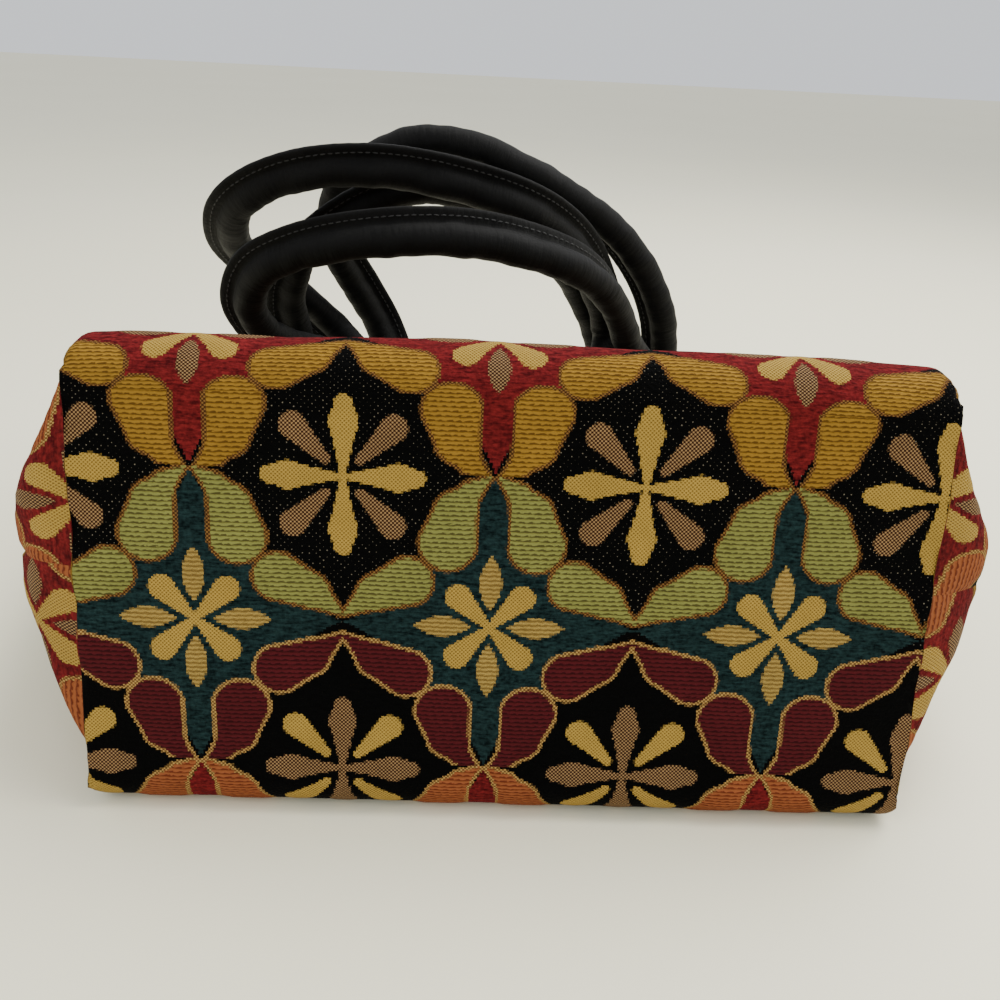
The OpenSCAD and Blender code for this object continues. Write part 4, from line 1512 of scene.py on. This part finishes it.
@dataclass(frozen=True)
class Studio:
    """Pale table and soft light from above and a little to the right."""

    table_half: float = 4000.0
    table_drop: float = 0.05
    sky: Colour = (0.93, 0.96, 1.0)
    sky_strength: float = 0.95

    def build(self) -> None:
        """Adds the table top, the lamps and the even light all round."""
        s = self.table_half
        z = -self.table_drop
        corners = np.array([(-s, -s, z), (s, -s, z), (s, s, z), (-s, s, z)])
        table = link_mesh("table_top", corners, np.array([[0, 1, 2, 3]]), None,
                          TableFinish().make())
        world = bpy.data.worlds.new("studio")
        world.use_nodes = True
        world.node_tree.nodes["Background"].inputs[0].default_value = (*self.sky, 1.0)
        world.node_tree.nodes["Background"].inputs[1].default_value = self.sky_strength
        bpy.context.scene.world = world
        self.lamp("window", (420.0, 260.0, 950.0), 900.0, 18.0, (1.0, 0.985, 0.95))
        self.lamp("fill", (-650.0, -700.0, 700.0), 900.0, 4.5, (1.0, 0.96, 0.9))

    @staticmethod
    def lamp(name: str, place: Point, size: float, power_w: float, colour: Colour) -> None:
        """Adds a square lamp that faces the bag.

        Args:
            name: The lamp's name.
            place: Where it stands, in millimetres.
            size: Its side, in millimetres.
            power_w: Its power in watts.
            colour: Its colour.
        """
        data = bpy.data.lights.new(name, "AREA")
        data.size = size * MM
        data.energy = power_w
        data.color = colour
        lamp = bpy.data.objects.new(name, data)
        lamp.location = Vector(place) * MM
        ahead = Vector((0, 0, 0.05)) - lamp.location
        lamp.rotation_euler = ahead.to_track_quat("-Z", "Y").to_euler()
        bpy.context.scene.collection.objects.link(lamp)


# The bag ---------------------------------------------------------------------------------------

class Slot(Enum):
    """The record's material slots that the cloth pieces fill."""

    TAPESTRY = "tapestry"
    LINING = "lining_cloth"
    FACING = "facing_cloth"
    HANDLE = "handle_cloth"


def fit(piece: bpy.types.Object, slot: Slot, *nodes: str) -> bpy.types.Object:
    """Rides a piece on the bag, hides the solids it stands for, and logs its slot and those solids."""
    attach(piece, BODY)
    if nodes:
        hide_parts(*nodes)
    LOG.info("%s: %d faces, slot %s, for %s", piece.name, len(piece.data.polygons), slot.value,
             ", ".join(nodes) or "no solid")
    return piece


@dataclass
class Bag:
    """The whole bag, in the order in which it would be sewn."""

    form: BagForm = field(default_factory=BagForm)
    pattern: Pattern = field(default_factory=Pattern)
    finishes: Finishes = field(init=False)
    cloth_t: float = 2.0
    hem_t: float = 1.5
    board_t: float = 2.0
    layer_gap: float = 0.3
    lining_t: float = 0.7
    facing_t: float = 0.9
    facing_h: float = 46.0

    def __post_init__(self) -> None:
        """Makes the finishes."""
        self.finishes = Finishes(self.pattern)

    def build(self) -> None:
        """Builds every piece."""
        self.shell()
        self.inside()
        self.handles()
        self.hard_parts()

    def shell(self) -> None:
        """Builds the tapestry and its topstitching."""
        shell = TapestryShell(self.form, self.pattern, self.finishes, self.cloth_t, self.hem_t)
        cloth = fit(shell.build(), Slot.TAPESTRY, "tapestry_shell")
        f = self.form
        length = f.base_d + 2 * (f.body_h + shell.hem_h)
        area = f.ring_length() * (f.body_h + shell.hem_h) + f.base_w * f.base_d
        stitches = StitchRow(pitch=3.4, length=2.5, seed=21).build(
            "mouth_topstitching", [shell.stitch_path()], self.finishes.thread)
        fit(stitches, Slot.FACING)
        length * MM
        area * MM * MM

    def inside(self) -> None:
        """Builds the lining, the facing and the pocket."""
        f = self.form
        outside = self.cloth_t + self.hem_t + self.layer_gap
        facing_s = 1 - self.facing_h / f.body_h
        base_y = (self.cloth_t + self.layer_gap + self.board_t + self.layer_gap) \
            / math.cos(math.radians(f.base_lean))
        lining = InnerSkin(f, "lining_cloth_skin", self.finishes.lining, outside, self.lining_t,
                           base_y, 0.0, facing_s - self.layer_gap / f.body_h).build()
        fit(lining, Slot.LINING, "lining")
        deep = f.body_h * facing_s
        (f.ring_length() * deep + f.base_w * f.base_d) * MM * MM
        facing = InnerSkin(f, "mouth_facing_band", self.finishes.facing, outside, self.facing_t,
                           None, facing_s, 1 - self.layer_gap / f.body_h, steps=12).build()
        fit(facing, Slot.FACING, "mouth_facing")
        f.ring_length() * MM
        pocket = fit(Pocket(self.finishes.lining).build(), Slot.LINING, "lining_pocket")

    def handles(self) -> None:
        """Builds the four strands with their seams' stitches."""
        for strand in Handles(self.form).strands():
            sleeve, stitches = strand.build(self.finishes)
            fit(sleeve, Slot.HANDLE, strand.node)
            fit(stitches, Slot.HANDLE)

    def hard_parts(self) -> None:
        """Dresses the solids that keep their shape: board, filler cords and snap."""
        finishes = {"base_board": self.finishes.board, "snap_stud": self.finishes.metal,
                    "snap_socket": self.finishes.metal, "stud_washer": self.finishes.metal,
                    "socket_washer": self.finishes.metal}
        for edge in Edge:
            for height in ("low", "high"):
                finishes[f"{edge.value}_cord_{height}"] = self.finishes.cord
        for name, material in finishes.items():
            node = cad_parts[name]
            node.data.materials.clear()
            node.data.materials.append(material)
            LOG.info("%s: keeps its solid, in %s", name, material.name)


def write_sizes() -> None:
    """Updates the view layer."""
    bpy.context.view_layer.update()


def main() -> None:
    """Builds the studio and the bag."""
    logging.basicConfig(level=logging.INFO, format="%(name)s %(message)s")
    Viewpoint().build()
    Studio().build()
    Bag().build()
    write_sizes()


if __name__ == "__main__":
    main()
